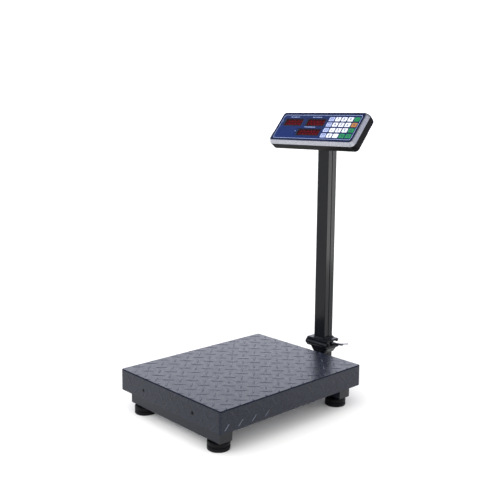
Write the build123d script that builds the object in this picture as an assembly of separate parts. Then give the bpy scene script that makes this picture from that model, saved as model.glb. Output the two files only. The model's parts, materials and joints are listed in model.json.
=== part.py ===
from build123d import *
import os
from math import cos, radians, sin

# Platform shipping scale with a folding column and a tilting keyboard head.
# Millimetres. +Z is up, -Y is the operator's side, X runs left to right.
# The origin is on the floor, under the middle of the overall footprint.

# ---- driving dimensions -------------------------------------------------
DECK_WIDTH = 400.0          # X
DECK_DEPTH = 500.0          # Y
DECK_TOP = 115.0            # height of the load surface above the floor
DECK_SKIRT = 56.0           # how far the cover's sides hang down
DECK_SHEET = 2.0
DECK_Y = -50.0              # middle of the deck
DECK_CORNER = 6.0

TUBE = 40.0                 # square base cross tubes
TUBE_WALL = 2.5
TUBE_HALF_LENGTH = 175.0
TUBE_BOTTOM = 24.0
TUBE_OFFSET = 213.0         # from the deck's middle to a tube's middle
CAP_PLATE = 3.0
CAP_PLUG = 10.0

FOOT_RADIUS = 28.0
FOOT_X = 148.0
FOOT_OFFSET = 210.0
FOOT_STUD_RADIUS = 5.0
FOOT_GAP = 0.1              # between the foot's shoulder and the tube

BEAM_WIDTH = 80.0           # channel that joins the two cross tubes
BEAM_HEIGHT = 25.0
BEAM_SHEET = 3.0

CELL_LENGTH = 150.0
CELL_WIDTH = 38.0
CELL_HEIGHT = 32.0
CELL_BOLT_PITCH = 22.0
CELL_END = 14.0             # from a cell's end to its first bolt
SPACER = 4.0

FRAME_BAR = 20.0            # height of the bars under the cover
RAIL_WIDTH = 30.0
RAIL_X = 150.0
CROSSBAR_WIDTH = 40.0
FRAME_OUTER = 244.0         # from the deck's middle to the end bars' outer face
TAB = 3.0
PAD = 4.0
BAR_WALL = 2.0
MIDDLE_FLOOR = 5.0          # the middle crossbar's floor, under the load cell's bolts
SCREW_X = 99.0
SCREW_Z = DECK_TOP - 32.0

BOLT_RADIUS = 4.0           # M8
BOLT_HEAD = 13.0            # across flats
BOLT_HEAD_HEIGHT = 5.5
BOLT_LENGTH = 14.0
HOLE_PLAY = 0.05            # radial play of a bolt, pin or stud in its hole

COLUMN = 40.0               # square outline of the column
COLUMN_FRONT = 256.0        # Y of its front face
COLUMN_TOP = 683.0
COLUMN_WALL = 2.0
COLUMN_REAR_CORNER = 8.0
COLUMN_FRONT_CORNER = 1.5
GROOVE_FROM = 12.0          # side groove, measured back from the front face
GROOVE_WIDTH = 6.4
GROOVE_DEPTH = 1.2
STUB_BOTTOM = 27.5
STUB_TOP = 106.0

HINGE_Y = 250.0
HINGE_Z = 119.5
HINGE_HALF_WIDTH = 40.0
KNUCKLE_RADIUS = 9.0
KNUCKLE_HALF = 23.0         # half width of the middle knuckle's slot
PIN_RADIUS = 4.0
BLOCK_REAR = 300.0          # rearmost face of the whole scale
BASE_PLATE_LOW = 109.0
BASE_PLATE_TOP = 116.0
FLAP_LOW = 129.2
FLAP_TOP = 134.0
COLLAR_TOP = 137.0
SOCKET_LOW = 123.0
LIP = 4.0

LATCH_X = 29.0
LATCH_Y = 281.0
LATCH_LOW = 116.3
LATCH_THICK = 4.0
LATCH_EYE = 8.0

FACE_TILT = 50.46           # slope of the head's face, from horizontal
FACE_Y = 190.0              # front lower edge of the face
FACE_Z = 709.7
FACE_WIDTH = 309.0
FACE_HEIGHT = 103.4
FACE_CORNER = 10.0          # corner radius of the face's outline
BEZEL_DEPTH = 11.5
BEZEL_FLARE = 5.0           # the bezel grows this much each side, going back
BEZEL_CORNER = 13.0         # corner radius of the bezel's rear edge
BEZEL_WALL = 2.5
BEZEL_RIM = 2.2
BEZEL_EDGE = 1.4            # rounding of the bezel's front edge
HEAD_DEPTH = 38.8
HOUSING_DRAFT = 1.5         # the rear housing shrinks this much each side
HOUSING_WALL = 2.5
HOUSING_ROUND = 8.0         # rounding of the rear housing's back edge
PANEL = 2.0
PANEL_RECESS = 0.3

KEY_COLUMNS = 5
KEY_ROWS = 4
KEY_WIDTH = 18.0
KEY_HEIGHT = 14.0
KEY_PITCH_X = 22.2
KEY_PITCH_Y = 19.1
KEY_LEFT = 43.3             # middle of the first column, from the face's middle
KEY_TOP_ROW = 79.0          # middle of the first row, up the face
KEY_PROUD = 0.9
KEY_PLAY = 0.3
KEY_FLANGE = 1.1

# Each display window: left, low, right and top edge on the face.
WINDOWS = [
    (-139.8, 53.9, -60.7, 80.6),
    (-53.4, 53.9, 24.1, 80.6),
    (-70.2, 19.9, 24.1, 45.0),
]

TILT_Y = 276.0
TILT_Z = 707.0
LUG_HALF = 8.7
LUG_RADIUS = 12.0
EAR_GAP = 0.3
EAR = 3.0
EAR_RADIUS = 10.0


# ---- helpers ------------------------------------------------------------
def block(x0, x1, y0, y1, z0, z1):
    """A box between two corners."""
    middle = Pos((x0 + x1) / 2, (y0 + y1) / 2, (z0 + z1) / 2)
    return middle * Box(x1 - x0, y1 - y0, z1 - z0)


def rod_x(x0, x1, y, z, radius):
    return Pos((x0 + x1) / 2, y, z) * Rot(0, 90, 0) * Cylinder(radius, x1 - x0)


def rod_y(x, y0, y1, z, radius):
    return Pos(x, (y0 + y1) / 2, z) * Rot(90, 0, 0) * Cylinder(radius, y1 - y0)


def rod_z(x, y, z0, z1, radius):
    return Pos(x, y, (z0 + z1) / 2) * Cylinder(radius, z1 - z0)


def slab(width, height, corner, n0, n1):
    """A plate with rounded corners, centred, from n0 to n1 along Z."""
    outline = RectangleRounded(width, height, corner)
    return extrude(Pos(0, 0, n0) * outline, n1 - n0)


def funnel(low, high, n0, n1):
    """A straight-sided loft between two rounded rectangles."""
    start = Pos(0, 0, n0) * RectangleRounded(*low)
    finish = Pos(0, 0, n1) * RectangleRounded(*high)
    return loft([start, finish])


def hex_bolt():
    """M8 bolt along +Z: its head sits on Z = 0 and the shank goes down."""
    head = extrude(RegularPolygon(BOLT_HEAD / 2, 6, major_radius=False), BOLT_HEAD_HEIGHT)
    return head + rod_z(0, 0, -BOLT_LENGTH, 0, BOLT_RADIUS)


parts = {}


def keep(name, *solids):
    """Store one node, as one solid or a group of separate solids."""
    parts[name] = solids[0] if len(solids) == 1 else Compound(children=list(solids))


# ---- base: two cross tubes joined by a channel ---------------------------
tube_top = TUBE_BOTTOM + TUBE
tube_middle = TUBE_BOTTOM + TUBE / 2
tube_ys = [DECK_Y - TUBE_OFFSET, DECK_Y + TUBE_OFFSET]
foot_places = [(x, DECK_Y + y) for y in (-FOOT_OFFSET, FOOT_OFFSET) for x in (-FOOT_X, FOOT_X)]
stop_places = [(x, DECK_Y + y) for y in (-220.0, 220.0) for x in (-110.0, 110.0)]
bracket_bolt_x = 38.0
bracket_bolt_zs = (36.0, 52.0)
bolt_hole = BOLT_RADIUS + HOLE_PLAY
stud_hole = FOOT_STUD_RADIUS + HOLE_PLAY

tubes = []
for tube_y in tube_ys:
    outline = RectangleRounded(TUBE, TUBE, 3.0) - RectangleRounded(TUBE - 2 * TUBE_WALL, TUBE - 2 * TUBE_WALL, 1.0)
    tube = Pos(-TUBE_HALF_LENGTH, tube_y, tube_middle) * Rot(0, 90, 0) * extrude(outline, 2 * TUBE_HALF_LENGTH)
    for x, y in foot_places:
        tube -= rod_z(x, y, TUBE_BOTTOM - 1, TUBE_BOTTOM + TUBE_WALL + 1, stud_hole)
    for x, y in stop_places:
        tube -= rod_z(x, y, tube_top - TUBE_WALL - 1, tube_top + 1, stud_hole)
    tubes.append(tube)
rear_face = tube_ys[1] + TUBE / 2
for x in (-bracket_bolt_x, bracket_bolt_x):
    for z in bracket_bolt_zs:
        tubes[1] -= rod_y(x, rear_face - TUBE_WALL - 1, rear_face + 1, z, bolt_hole)
keep("cross_tubes", *tubes)

# Plastic plugs that close the tubes' ends.
caps = []
for tube_y in tube_ys:
    for side in (-1, 1):
        plate = extrude(RectangleRounded(TUBE, TUBE, 3.0), CAP_PLATE)
        inner = TUBE - 2 * TUBE_WALL - 0.2
        plug = extrude(RectangleRounded(inner, inner, 1.0), -CAP_PLUG)
        plug -= Pos(0, 0, -CAP_PLUG) * Box(inner - 5, inner - 5, 2 * CAP_PLUG - 4)
        place = Pos(side * TUBE_HALF_LENGTH, tube_y, tube_middle) * Rot(0, side * 90, 0)
        caps.append(place * fillet((plate + plug).edges().group_by(Axis.Z)[-1], 1.2))
keep("tube_end_caps", *caps)

# Inverted channel along the middle, welded between the tubes.
beam_y0 = tube_ys[0] + TUBE / 2
beam_y1 = tube_ys[1] - TUBE / 2
beam_top = TUBE_BOTTOM + BEAM_HEIGHT
half_beam = BEAM_WIDTH / 2
beam = block(-half_beam, half_beam, beam_y0, beam_y1, TUBE_BOTTOM, beam_top)
beam -= block(-half_beam + BEAM_SHEET, half_beam - BEAM_SHEET, beam_y0 - 1, beam_y1 + 1,
              TUBE_BOTTOM - 1, beam_top - BEAM_SHEET)

# ---- load cell: fixed to the channel at the back, carries the frame in front
cell_y0 = DECK_Y - CELL_LENGTH / 2
cell_y1 = DECK_Y + CELL_LENGTH / 2
cell_low = beam_top + SPACER
cell_top = cell_low + CELL_HEIGHT
rear_bolts = [cell_y1 - CELL_END - CELL_BOLT_PITCH, cell_y1 - CELL_END]
front_bolts = [cell_y0 + CELL_END, cell_y0 + CELL_END + CELL_BOLT_PITCH]
half_cell = CELL_WIDTH / 2
cell = block(-half_cell, half_cell, cell_y0, cell_y1, cell_low, cell_top)
cell_middle = cell_low + CELL_HEIGHT / 2
dogbone_radius = 10.0
dogbone_reach = 20.0
for side in (-1, 1):
    cell -= rod_x(-half_cell - 1, half_cell + 1, DECK_Y + side * dogbone_reach, cell_middle, dogbone_radius)
cell -= block(-half_cell - 1, half_cell + 1, DECK_Y - dogbone_reach, DECK_Y + dogbone_reach,
              cell_middle - 6, cell_middle + 6)

lower_spacer = block(-half_cell, half_cell, cell_y1 - 50, cell_y1, beam_top, cell_low)
upper_spacer = block(-half_cell, half_cell, cell_y0, cell_y0 + 50, cell_top, cell_top + SPACER)
for y in rear_bolts:
    hole = rod_z(0, y, TUBE_BOTTOM, cell_low + BOLT_LENGTH, bolt_hole)
    beam -= hole
    lower_spacer -= hole
    cell -= hole
frame_low = cell_top + SPACER
frame_top = frame_low + FRAME_BAR
pocket_floor = frame_low + MIDDLE_FLOOR
for y in front_bolts:
    hole = rod_z(0, y, cell_top - BOLT_LENGTH, frame_top, bolt_hole)
    upper_spacer -= hole
    cell -= hole
keep("centre_beam", beam)
keep("load_cell", cell)
keep("cell_spacers", lower_spacer, upper_spacer)

# ---- frame under the cover: two rails and three crossbars, welded ---------
rail_end = FRAME_OUTER - CROSSBAR_WIDTH


def hollow_bar(x0, x1, y0, y1, floor=BAR_WALL):
    """A steel tube of the frame, with a plate welded over each end."""
    bar = block(x0, x1, y0, y1, frame_low, frame_top)
    return bar - block(x0 + BAR_WALL, x1 - BAR_WALL, y0 + BAR_WALL, y1 - BAR_WALL,
                       frame_low + floor, frame_top - BAR_WALL)


rails = []
for side in (-1, 1):
    x0 = side * RAIL_X - RAIL_WIDTH / 2
    rails.append(hollow_bar(x0, x0 + RAIL_WIDTH, DECK_Y - rail_end, DECK_Y + rail_end))
bar_half = RAIL_X + RAIL_WIDTH / 2
end_bars = []
screw_radius = 2.5
for side in (-1, 1):
    inner_y = DECK_Y + side * rail_end
    outer_y = DECK_Y + side * FRAME_OUTER
    bar = hollow_bar(-bar_half, bar_half, min(inner_y, outer_y), max(inner_y, outer_y))
    for x in (-SCREW_X, SCREW_X):
        tab_y = outer_y + side * TAB
        tab = block(x - 15, x + 15, min(outer_y, tab_y), max(outer_y, tab_y), SCREW_Z - 9, frame_top - 5)
        tab -= rod_y(x, min(outer_y, tab_y) - 1, max(outer_y, tab_y) + 1, SCREW_Z, screw_radius + HOLE_PLAY)
        bar += tab
    end_bars.append(bar)
middle_y0 = cell_y0 - 5
middle_y1 = cell_y0 + 60
reach = RAIL_X - RAIL_WIDTH / 2
middle_bar = hollow_bar(-reach, reach, middle_y0, middle_y1, MIDDLE_FLOOR)
for y in front_bolts:
    middle_bar -= rod_z(0, y, frame_low - 1, frame_top + 1, bolt_hole)
    middle_bar -= rod_z(0, y, pocket_floor, frame_top + 1, 9.0)
keep("deck_frame", *rails, *end_bars, middle_bar)

# Rubber pads that the cover lies on.
pads = []
for x in (-RAIL_X, RAIL_X):
    for y in (-200.0, 0.0, 200.0):
        pads.append(rod_z(x, DECK_Y + y, frame_top, frame_top + PAD, 11.0))
keep("deck_pads", *pads)

# Stop bolts on the cross tubes, just under the frame's end bars.
stop_gap = 1.8
stops = []
for x, y in stop_places:
    stud = rod_z(x, y, tube_top - TUBE_WALL, frame_low - stop_gap - 4, FOOT_STUD_RADIUS)
    nut = Pos(x, y, tube_top) * extrude(RegularPolygon(8.0, 6, major_radius=False), 7.0)
    crown = rod_z(x, y, frame_low - stop_gap - 6, frame_low - stop_gap, 8.0)
    crown = fillet(crown.edges().group_by(Axis.Z)[-1], 1.5)
    stops.append(stud + nut + crown)
keep("overload_stops", *stops)

# ---- deck cover: a folded steel pan --------------------------------------
half_width = DECK_WIDTH / 2
half_depth = DECK_DEPTH / 2
skirt_low = DECK_TOP - DECK_SKIRT
outer = block(-half_width, half_width, DECK_Y - half_depth, DECK_Y + half_depth, skirt_low, DECK_TOP)
outer = fillet(outer.edges().filter_by(Axis.Z), DECK_CORNER)
outer = fillet(outer.edges().group_by(Axis.Z)[-1], 2.5)
hollow = block(-half_width + DECK_SHEET, half_width - DECK_SHEET, DECK_Y - half_depth + DECK_SHEET,
               DECK_Y + half_depth - DECK_SHEET, skirt_low - 1, DECK_TOP - DECK_SHEET)
hollow = fillet(hollow.edges().filter_by(Axis.Z), DECK_CORNER - DECK_SHEET)
cover = outer - hollow
head_radius = 4.6
deck_screws = []
for side in (-1, 1):
    face_y = DECK_Y + side * half_depth
    turn = Rot(-side * 90, 0, 0)
    for x in (-SCREW_X, SCREW_X):
        sink = Cone(screw_radius, head_radius, DECK_SHEET)
        place = Pos(x, face_y - side * DECK_SHEET / 2, SCREW_Z) * turn
        cover -= place * Cone(screw_radius + 0.1, head_radius + 0.1, DECK_SHEET)
        shank = Pos(0, 0, -DECK_SHEET / 2 - 5) * Cylinder(screw_radius, 10)
        recess = Pos(0, 0, DECK_SHEET / 2) * extrude(RegularPolygon(1.5, 6, major_radius=False), -1.4)
        deck_screws.append(place * (sink + shank - recess))
keep("deck_cover", cover)
keep("deck_screws", *deck_screws)

# ---- feet: rubber pad on a threaded stud, turned in a nut in the tube -----
foot_names = ["foot_front_left", "foot_front_right", "foot_rear_left", "foot_rear_right"]
stud_top = TUBE_BOTTOM + TUBE - TUBE_WALL - 7
shoulder_top = TUBE_BOTTOM - FOOT_GAP
nuts = []
for name, (x, y) in zip(foot_names, foot_places):
    # Half outline: sole, groove between the two tiers, top and shoulder.
    profile = Polyline(
        (0, 0), (FOOT_RADIUS - 1.5, 0), (FOOT_RADIUS, 1.5), (FOOT_RADIUS, 9), (FOOT_RADIUS - 2, 10),
        (FOOT_RADIUS - 2, 12), (FOOT_RADIUS, 13), (FOOT_RADIUS, 20), (FOOT_RADIUS - 2, 22), (12, 22),
        (12, shoulder_top), (FOOT_STUD_RADIUS, shoulder_top), (FOOT_STUD_RADIUS, 8), (0, 8), close=True)
    pad = revolve(make_face(Plane.XZ * profile), Axis.Z)
    stud = rod_z(0, 0, 8, stud_top, FOOT_STUD_RADIUS)
    keep(name, Pos(x, y, 0) * pad, Pos(x, y, 0) * stud)
    nut = extrude(RegularPolygon(8.5, 6, major_radius=False), 8.0) - Cylinder(stud_hole, 30)
    nuts.append(Pos(x, y, TUBE_BOTTOM + TUBE_WALL) * nut)
keep("foot_nuts", *nuts)


# ---- column, stub and the bracket that carries them ----------------------
def column_outline(shrink=0.0):
    """Section of the column: square, rounded at the back, grooved sides."""
    half = COLUMN / 2 - shrink
    sketch = Rectangle(2 * half, 2 * half)
    back = sketch.vertices().group_by(Axis.Y)[-1]
    sketch = fillet(back, COLUMN_REAR_CORNER - shrink)
    front = sketch.vertices().group_by(Axis.Y)[0]
    sketch = fillet(front, COLUMN_FRONT_CORNER)
    groove_y = GROOVE_FROM + GROOVE_WIDTH / 2 - COLUMN / 2
    for side in (-1, 1):
        groove = Rectangle(2 * GROOVE_DEPTH, GROOVE_WIDTH + 2 * shrink)
        sketch -= Pos(side * half, groove_y) * groove
    return sketch


def column_bar(z0, z1, hollow_bar=True):
    section = column_outline()
    if hollow_bar:
        section -= column_outline(COLUMN_WALL)
    return Pos(0, COLUMN_FRONT + COLUMN / 2, z0) * extrude(section, z1 - z0)


column_rear = COLUMN_FRONT + COLUMN
column_middle = COLUMN_FRONT + COLUMN / 2
column_low = SOCKET_LOW + 3.0
side_bolt_zs = (42.0, 62.0)
clamp_z = 130.5
stub = column_bar(STUB_BOTTOM, STUB_TOP)
column = column_bar(column_low, COLUMN_TOP)

# Bracket: flange on the rear tube, floor and two cheeks round the stub.
cheek_in = COLUMN / 2 + 0.1
cheek_out = cheek_in + 3.5
floor_low = TUBE_BOTTOM
skirt_clear_y = DECK_Y + half_depth + 6.0
bracket = block(-cheek_out, cheek_out, rear_face + 4, column_rear + 2, floor_low, STUB_BOTTOM)
bracket += block(-55, 55, rear_face, rear_face + 4, floor_low, 62.0)
for side in (-1, 1):
    cheek = Polyline(
        (rear_face + 4, STUB_BOTTOM), (column_rear + 2, STUB_BOTTOM), (column_rear + 2, 72.0),
        (COLUMN_FRONT - 2, 72.0), (skirt_clear_y, 56.0), (rear_face + 4, 56.0), close=True)
    plate = extrude(make_face(Plane.YZ * cheek), cheek_out - cheek_in)
    bracket += Pos(cheek_in if side > 0 else -cheek_out, 0, 0) * plate
for x in (-bracket_bolt_x, bracket_bolt_x):
    for z in bracket_bolt_zs:
        bracket -= rod_y(x, rear_face - 1, rear_face + 5, z, bolt_hole)
bracket_bolts = []
bolt = hex_bolt()
for side in (-1, 1):
    for z in side_bolt_zs:
        hole = rod_x(-30, 30, column_rear - 12, z, bolt_hole)
        bracket -= hole
        stub -= hole
        bracket_bolts.append(Pos(side * cheek_out, column_rear - 12, z) * Rot(0, side * 90, 0) * bolt)
    for z in bracket_bolt_zs:
        bracket_bolts.append(Pos(side * bracket_bolt_x, rear_face + 4, z) * Rot(-90, 0, 0) * bolt)
for y in rear_bolts:
    bracket_bolts.append(Pos(0, y, beam_top - BEAM_SHEET) * Rot(180, 0, 0) * bolt)
for y in front_bolts:
    bracket_bolts.append(Pos(0, y, pocket_floor) * bolt)
keep("column_bracket", bracket)
keep("frame_bolts", *bracket_bolts)
keep("column_stub", stub)

# ---- folding hinge -------------------------------------------------------
# Lower casting: socket for the stub, plate, and the two outer knuckles.
base = block(-HINGE_HALF_WIDTH, HINGE_HALF_WIDTH, HINGE_Y - 5, BLOCK_REAR, BASE_PLATE_LOW, BASE_PLATE_TOP)
base = fillet(base.edges().filter_by(Axis.Z), 4.0)
taper = funnel((COLUMN + 7, COLUMN + 5, 7.0), (2 * HINGE_HALF_WIDTH - 10, COLUMN + 8, 7.0), 92.0, BASE_PLATE_LOW)
base += Pos(0, column_middle, 0) * taper
knuckle_gap = 0.3
for side in (-1, 1):
    x0 = side * (KNUCKLE_HALF + knuckle_gap)
    x1 = side * HINGE_HALF_WIDTH
    base += rod_x(min(x0, x1), max(x0, x1), HINGE_Y, HINGE_Z, KNUCKLE_RADIUS)
    base += block(min(x0, x1), max(x0, x1), HINGE_Y, HINGE_Y + 9, BASE_PLATE_LOW, HINGE_Z)
slot = KNUCKLE_HALF + knuckle_gap
base -= rod_x(-slot, slot, HINGE_Y, HINGE_Z, KNUCKLE_RADIUS + 0.5)
base -= rod_x(-60, 60, HINGE_Y, HINGE_Z, PIN_RADIUS + HOLE_PLAY)
base -= Pos(0, column_middle, 91.0) * extrude(offset(column_outline(), 0.15), STUB_TOP - 91.0 + 0.1)
rest_pad_top = SOCKET_LOW - 0.1
base += block(-20, 4, HINGE_Y + 15, BLOCK_REAR - 14, BASE_PLATE_TOP, rest_pad_top)
base -= rod_z(LATCH_X, LATCH_Y, BASE_PLATE_LOW + 0.8, BASE_PLATE_TOP + 1, 3.0 + HOLE_PLAY)
keep("hinge_base", base)

# Upper casting: middle knuckle, plate with a turned-down rear lip, socket.
flap = block(-HINGE_HALF_WIDTH, HINGE_HALF_WIDTH, HINGE_Y - 6, BLOCK_REAR, FLAP_LOW, FLAP_TOP)
flap = fillet(flap.edges().filter_by(Axis.Z), 5.0)
flap = chamfer(flap.edges().group_by(Axis.Z)[-1].group_by(Axis.Y)[0], 3.0)
flap += block(-HINGE_HALF_WIDTH + 5, HINGE_HALF_WIDTH - 5, BLOCK_REAR - LIP, BLOCK_REAR, SOCKET_LOW, FLAP_LOW)
socket_y0 = COLUMN_FRONT - 3.0
socket_y1 = BLOCK_REAR
socket_half = KNUCKLE_HALF - 1.3
flap += block(-socket_half, socket_half, socket_y0, socket_y1, SOCKET_LOW, FLAP_TOP)
collar = funnel((COLUMN + 10, COLUMN + 8, 9.0), (COLUMN + 4, COLUMN + 4, 6.0), FLAP_TOP, COLLAR_TOP)
flap += Pos(0, column_middle, 0) * collar
knuckle = rod_x(-KNUCKLE_HALF + 0.3, KNUCKLE_HALF - 0.3, HINGE_Y, HINGE_Z, KNUCKLE_RADIUS)
web = block(-KNUCKLE_HALF + 0.3, KNUCKLE_HALF - 0.3, HINGE_Y, socket_y0 + 1, HINGE_Z + 3.6, FLAP_LOW + 1)
flap += knuckle + web
flap -= rod_x(-60, 60, HINGE_Y, HINGE_Z, PIN_RADIUS + HOLE_PLAY)
flap -= Pos(0, column_middle, column_low) * extrude(offset(column_outline(), 0.15), 30)
keeper_x = 12.0
keeper_radius = 4.0
flap += rod_z(keeper_x, LATCH_Y, LATCH_LOW, SOCKET_LOW + 1, keeper_radius)
# Two grub screws through the socket's rear wall hold the column.
clamp_screws = []
clamp_radius = 2.5
for x in (-9.0, 9.0):
    hole = rod_y(x, column_rear - COLUMN_WALL - 1, BLOCK_REAR + 1, clamp_z, clamp_radius + HOLE_PLAY)
    flap -= hole
    column -= hole
    grub = rod_y(x, column_rear - COLUMN_WALL, BLOCK_REAR - 0.5, clamp_z, clamp_radius)
    key_socket = Pos(x, BLOCK_REAR - 0.5, clamp_z) * Rot(90, 0, 0) * extrude(RegularPolygon(1.4, 6), 2.0)
    clamp_screws.append(grub - key_socket)
keep("hinge_flap", flap)
keep("column_tube", column)
keep("clamp_screws", *clamp_screws)

# Hinge pin with a head at one end and a clip at the other.
pin = rod_x(-HINGE_HALF_WIDTH - 0.2, HINGE_HALF_WIDTH + 2.5, HINGE_Y, HINGE_Z, PIN_RADIUS)
pin_head = rod_x(-HINGE_HALF_WIDTH - 2.4, -HINGE_HALF_WIDTH - 0.2, HINGE_Y, HINGE_Z, 6.5)
pin_head = fillet(pin_head.edges().group_by(Axis.X)[0], 1.2)
clip = rod_x(HINGE_HALF_WIDTH + 0.2, HINGE_HALF_WIDTH + 1.4, HINGE_Y, HINGE_Z, 6.2)
clip -= rod_x(0, 60, HINGE_Y, HINGE_Z, PIN_RADIUS + 0.02)
clip -= block(HINGE_HALF_WIDTH, HINGE_HALF_WIDTH + 3, HINGE_Y - 2, HINGE_Y + 2, HINGE_Z - 9, HINGE_Z)
keep("hinge_pin", pin + pin_head, clip)

# ---- latch lever between the two castings --------------------------------
latch_top = LATCH_LOW + LATCH_THICK
handle_end = (58.0, 296.0)
eye = rod_z(LATCH_X, LATCH_Y, LATCH_LOW, latch_top, LATCH_EYE)
tongue = Polyline(
    (LATCH_X - 3, LATCH_Y + 7.4), (LATCH_X + 3, LATCH_Y - 7.4), (handle_end[0], handle_end[1] - 6),
    (handle_end[0] + 2, handle_end[1] - 1), (handle_end[0] - 2, handle_end[1] + 1.5), close=True)
nose = Polyline(
    (LATCH_X, LATCH_Y - 7.8), (LATCH_X, LATCH_Y + 6.0), (keeper_x + 6, LATCH_Y + 3.0),
    (keeper_x + 1, LATCH_Y), (keeper_x + 1, LATCH_Y - 8.0), close=True)
lever = eye
for outline in (tongue, nose):
    lever += Pos(0, 0, LATCH_LOW) * extrude(make_face(outline), LATCH_THICK)
lever -= rod_z(keeper_x, LATCH_Y, LATCH_LOW - 1, latch_top + 1, keeper_radius + 0.6)
lever -= block(keeper_x - 9, keeper_x + 6.2, LATCH_Y, LATCH_Y + 12, LATCH_LOW - 1, latch_top + 1)
lever -= rod_z(LATCH_X, LATCH_Y, LATCH_LOW - 1, latch_top + 1, 3.0 + HOLE_PLAY)
rod_radius = 1.9
rod_line = Line((handle_end[0] - 14, handle_end[1] - 6.6, LATCH_LOW + 2), (handle_end[0] + 19, 298.0, LATCH_LOW + 8))
rod_section = Plane(origin=rod_line @ 0, z_dir=rod_line % 0) * Circle(rod_radius)
latch_rod = extrude(rod_section, rod_line.length)
lever -= latch_rod
latch_rod = fillet(latch_rod.edges().group_by(Axis.X)[-1], 1.0)
keep("latch_lever", lever)
keep("latch_rod", latch_rod)

# Shoulder screw that the lever turns on, and its return spring.
screw = rod_z(LATCH_X, LATCH_Y, BASE_PLATE_LOW + 1, latch_top + 0.4, 3.0)
screw_head = rod_z(LATCH_X, LATCH_Y, latch_top + 0.2, latch_top + 3.0, 5.0)
screw_head = fillet(screw_head.edges().group_by(Axis.Z)[-1], 0.8)
keep("latch_screw", screw + screw_head)
coil_radius = 6.4
wire_radius = 0.45
helix = Helix(pitch=1.2, height=2.4, radius=coil_radius)
wire = sweep(Plane(origin=helix @ 0, z_dir=helix % 0) * Circle(wire_radius), path=helix)
keep("latch_spring", Pos(LATCH_X, LATCH_Y, latch_top + wire_radius + 0.15) * wire)

# ---- column top and the tilting head --------------------------------------
# Plastic cap: plug in the tube, shoulder, and the lug that the head tilts on.
plug = extrude(offset(column_outline(COLUMN_WALL), -0.15), -22)
shoulder = funnel((COLUMN + 0.6, COLUMN + 0.6, 3.0), (COLUMN - 1.4, COLUMN - 1.4, 3.0), 0.0, 8.0)
cap = Pos(0, column_middle, COLUMN_TOP) * (plug + shoulder)
lug_block = block(-LUG_HALF, LUG_HALF, TILT_Y - LUG_RADIUS, TILT_Y + LUG_RADIUS, COLUMN_TOP + 7, TILT_Z)
cap += lug_block + rod_x(-LUG_HALF, LUG_HALF, TILT_Y, TILT_Z, LUG_RADIUS)
cap -= rod_x(-60, 60, TILT_Y, TILT_Z, PIN_RADIUS + HOLE_PLAY)
keep("column_cap", cap)

# Head pieces are drawn on the face: u across, v up the slope, n outwards.
slope = radians(FACE_TILT)
face = Plane(origin=(0, FACE_Y, FACE_Z), x_dir=(1, 0, 0), z_dir=(0, -sin(slope), cos(slope))).location
centre = face * Pos(0, FACE_HEIGHT / 2, 0)
tilt_v = (TILT_Y - FACE_Y) * cos(slope) + (TILT_Z - FACE_Z) * sin(slope)
tilt_n = -(TILT_Y - FACE_Y) * sin(slope) + (TILT_Z - FACE_Z) * cos(slope)


def grown(extra, corner):
    """Size of the head's outline, grown by extra on every side."""
    return FACE_WIDTH + 2 * extra, FACE_HEIGHT + 2 * extra, corner


seam = -BEZEL_DEPTH
rim_corner = FACE_CORNER - BEZEL_RIM
bezel = funnel(grown(BEZEL_FLARE, BEZEL_CORNER), grown(0, FACE_CORNER), seam, 0)
bezel = fillet(bezel.edges().group_by(Axis.Z)[-1], BEZEL_EDGE)
bezel -= funnel(grown(BEZEL_FLARE - BEZEL_WALL, BEZEL_CORNER - BEZEL_WALL),
                grown(-BEZEL_WALL, FACE_CORNER - BEZEL_WALL), seam, -4.4)
bezel -= slab(FACE_WIDTH - 10, FACE_HEIGHT - 10, FACE_CORNER - 5, -5, 1)
bezel -= slab(FACE_WIDTH - 2 * BEZEL_RIM, FACE_HEIGHT - 2 * BEZEL_RIM, rim_corner, -PANEL - PANEL_RECESS, 1)
post_places = [(u, v) for u in (-146.2, 146.2) for v in (-40.4, 40.4)]
post_radius = 4.5
thread_radius = 1.5
for u, v in post_places:
    bezel += rod_z(u, v, seam, -3.0, post_radius)
    bezel -= rod_z(u, v, seam - 1, -6.0, thread_radius + HOLE_PLAY)
bezel -= slab(FACE_WIDTH - 2 * BEZEL_RIM, FACE_HEIGHT - 2 * BEZEL_RIM, rim_corner, -PANEL - PANEL_RECESS, 1)
keep("head_bezel", centre * bezel)

# Rear housing: drafted shell with rounded back corners and screw bosses.
back = -HEAD_DEPTH
back_corner = BEZEL_CORNER - HOUSING_DRAFT
housing = funnel(grown(BEZEL_FLARE - HOUSING_DRAFT, back_corner), grown(BEZEL_FLARE, BEZEL_CORNER), back, seam)
housing = fillet(housing.edges().group_by(Axis.Z)[0], HOUSING_ROUND)
inside = funnel(grown(BEZEL_FLARE - HOUSING_DRAFT - HOUSING_WALL, back_corner - HOUSING_WALL),
                grown(BEZEL_FLARE - HOUSING_WALL, BEZEL_CORNER - HOUSING_WALL), back + HOUSING_WALL, seam + 0.01)
housing -= fillet(inside.edges().group_by(Axis.Z)[0], HOUSING_ROUND - HOUSING_WALL)
screws = []
for u, v in post_places:
    housing += rod_z(u, v, back + 1, seam, post_radius)
    housing -= rod_z(u, v, back - 1, seam + 1, thread_radius + 0.2)
    housing -= rod_z(u, v, back - 1, back + 4, 3.2)
    shank = rod_z(u, v, back + 4, -7.0, thread_radius)
    screws.append(centre * (shank + rod_z(u, v, back + 1.6, back + 4, 2.9)))
socket_u = 100.0
rocker_u = -100.0
low_v = -27.0
rocker_size = (20.0, 13.0)
rocker_pivot = back + 6.0
housing -= rod_z(socket_u, low_v, back - 1, back + 3, 6.0)
housing -= Pos(rocker_u, low_v, back) * Box(rocker_size[0] + 0.8, rocker_size[1] + 0.8, 8)
keep("rear_housing", centre * housing)
keep("housing_screws", *screws)

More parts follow.
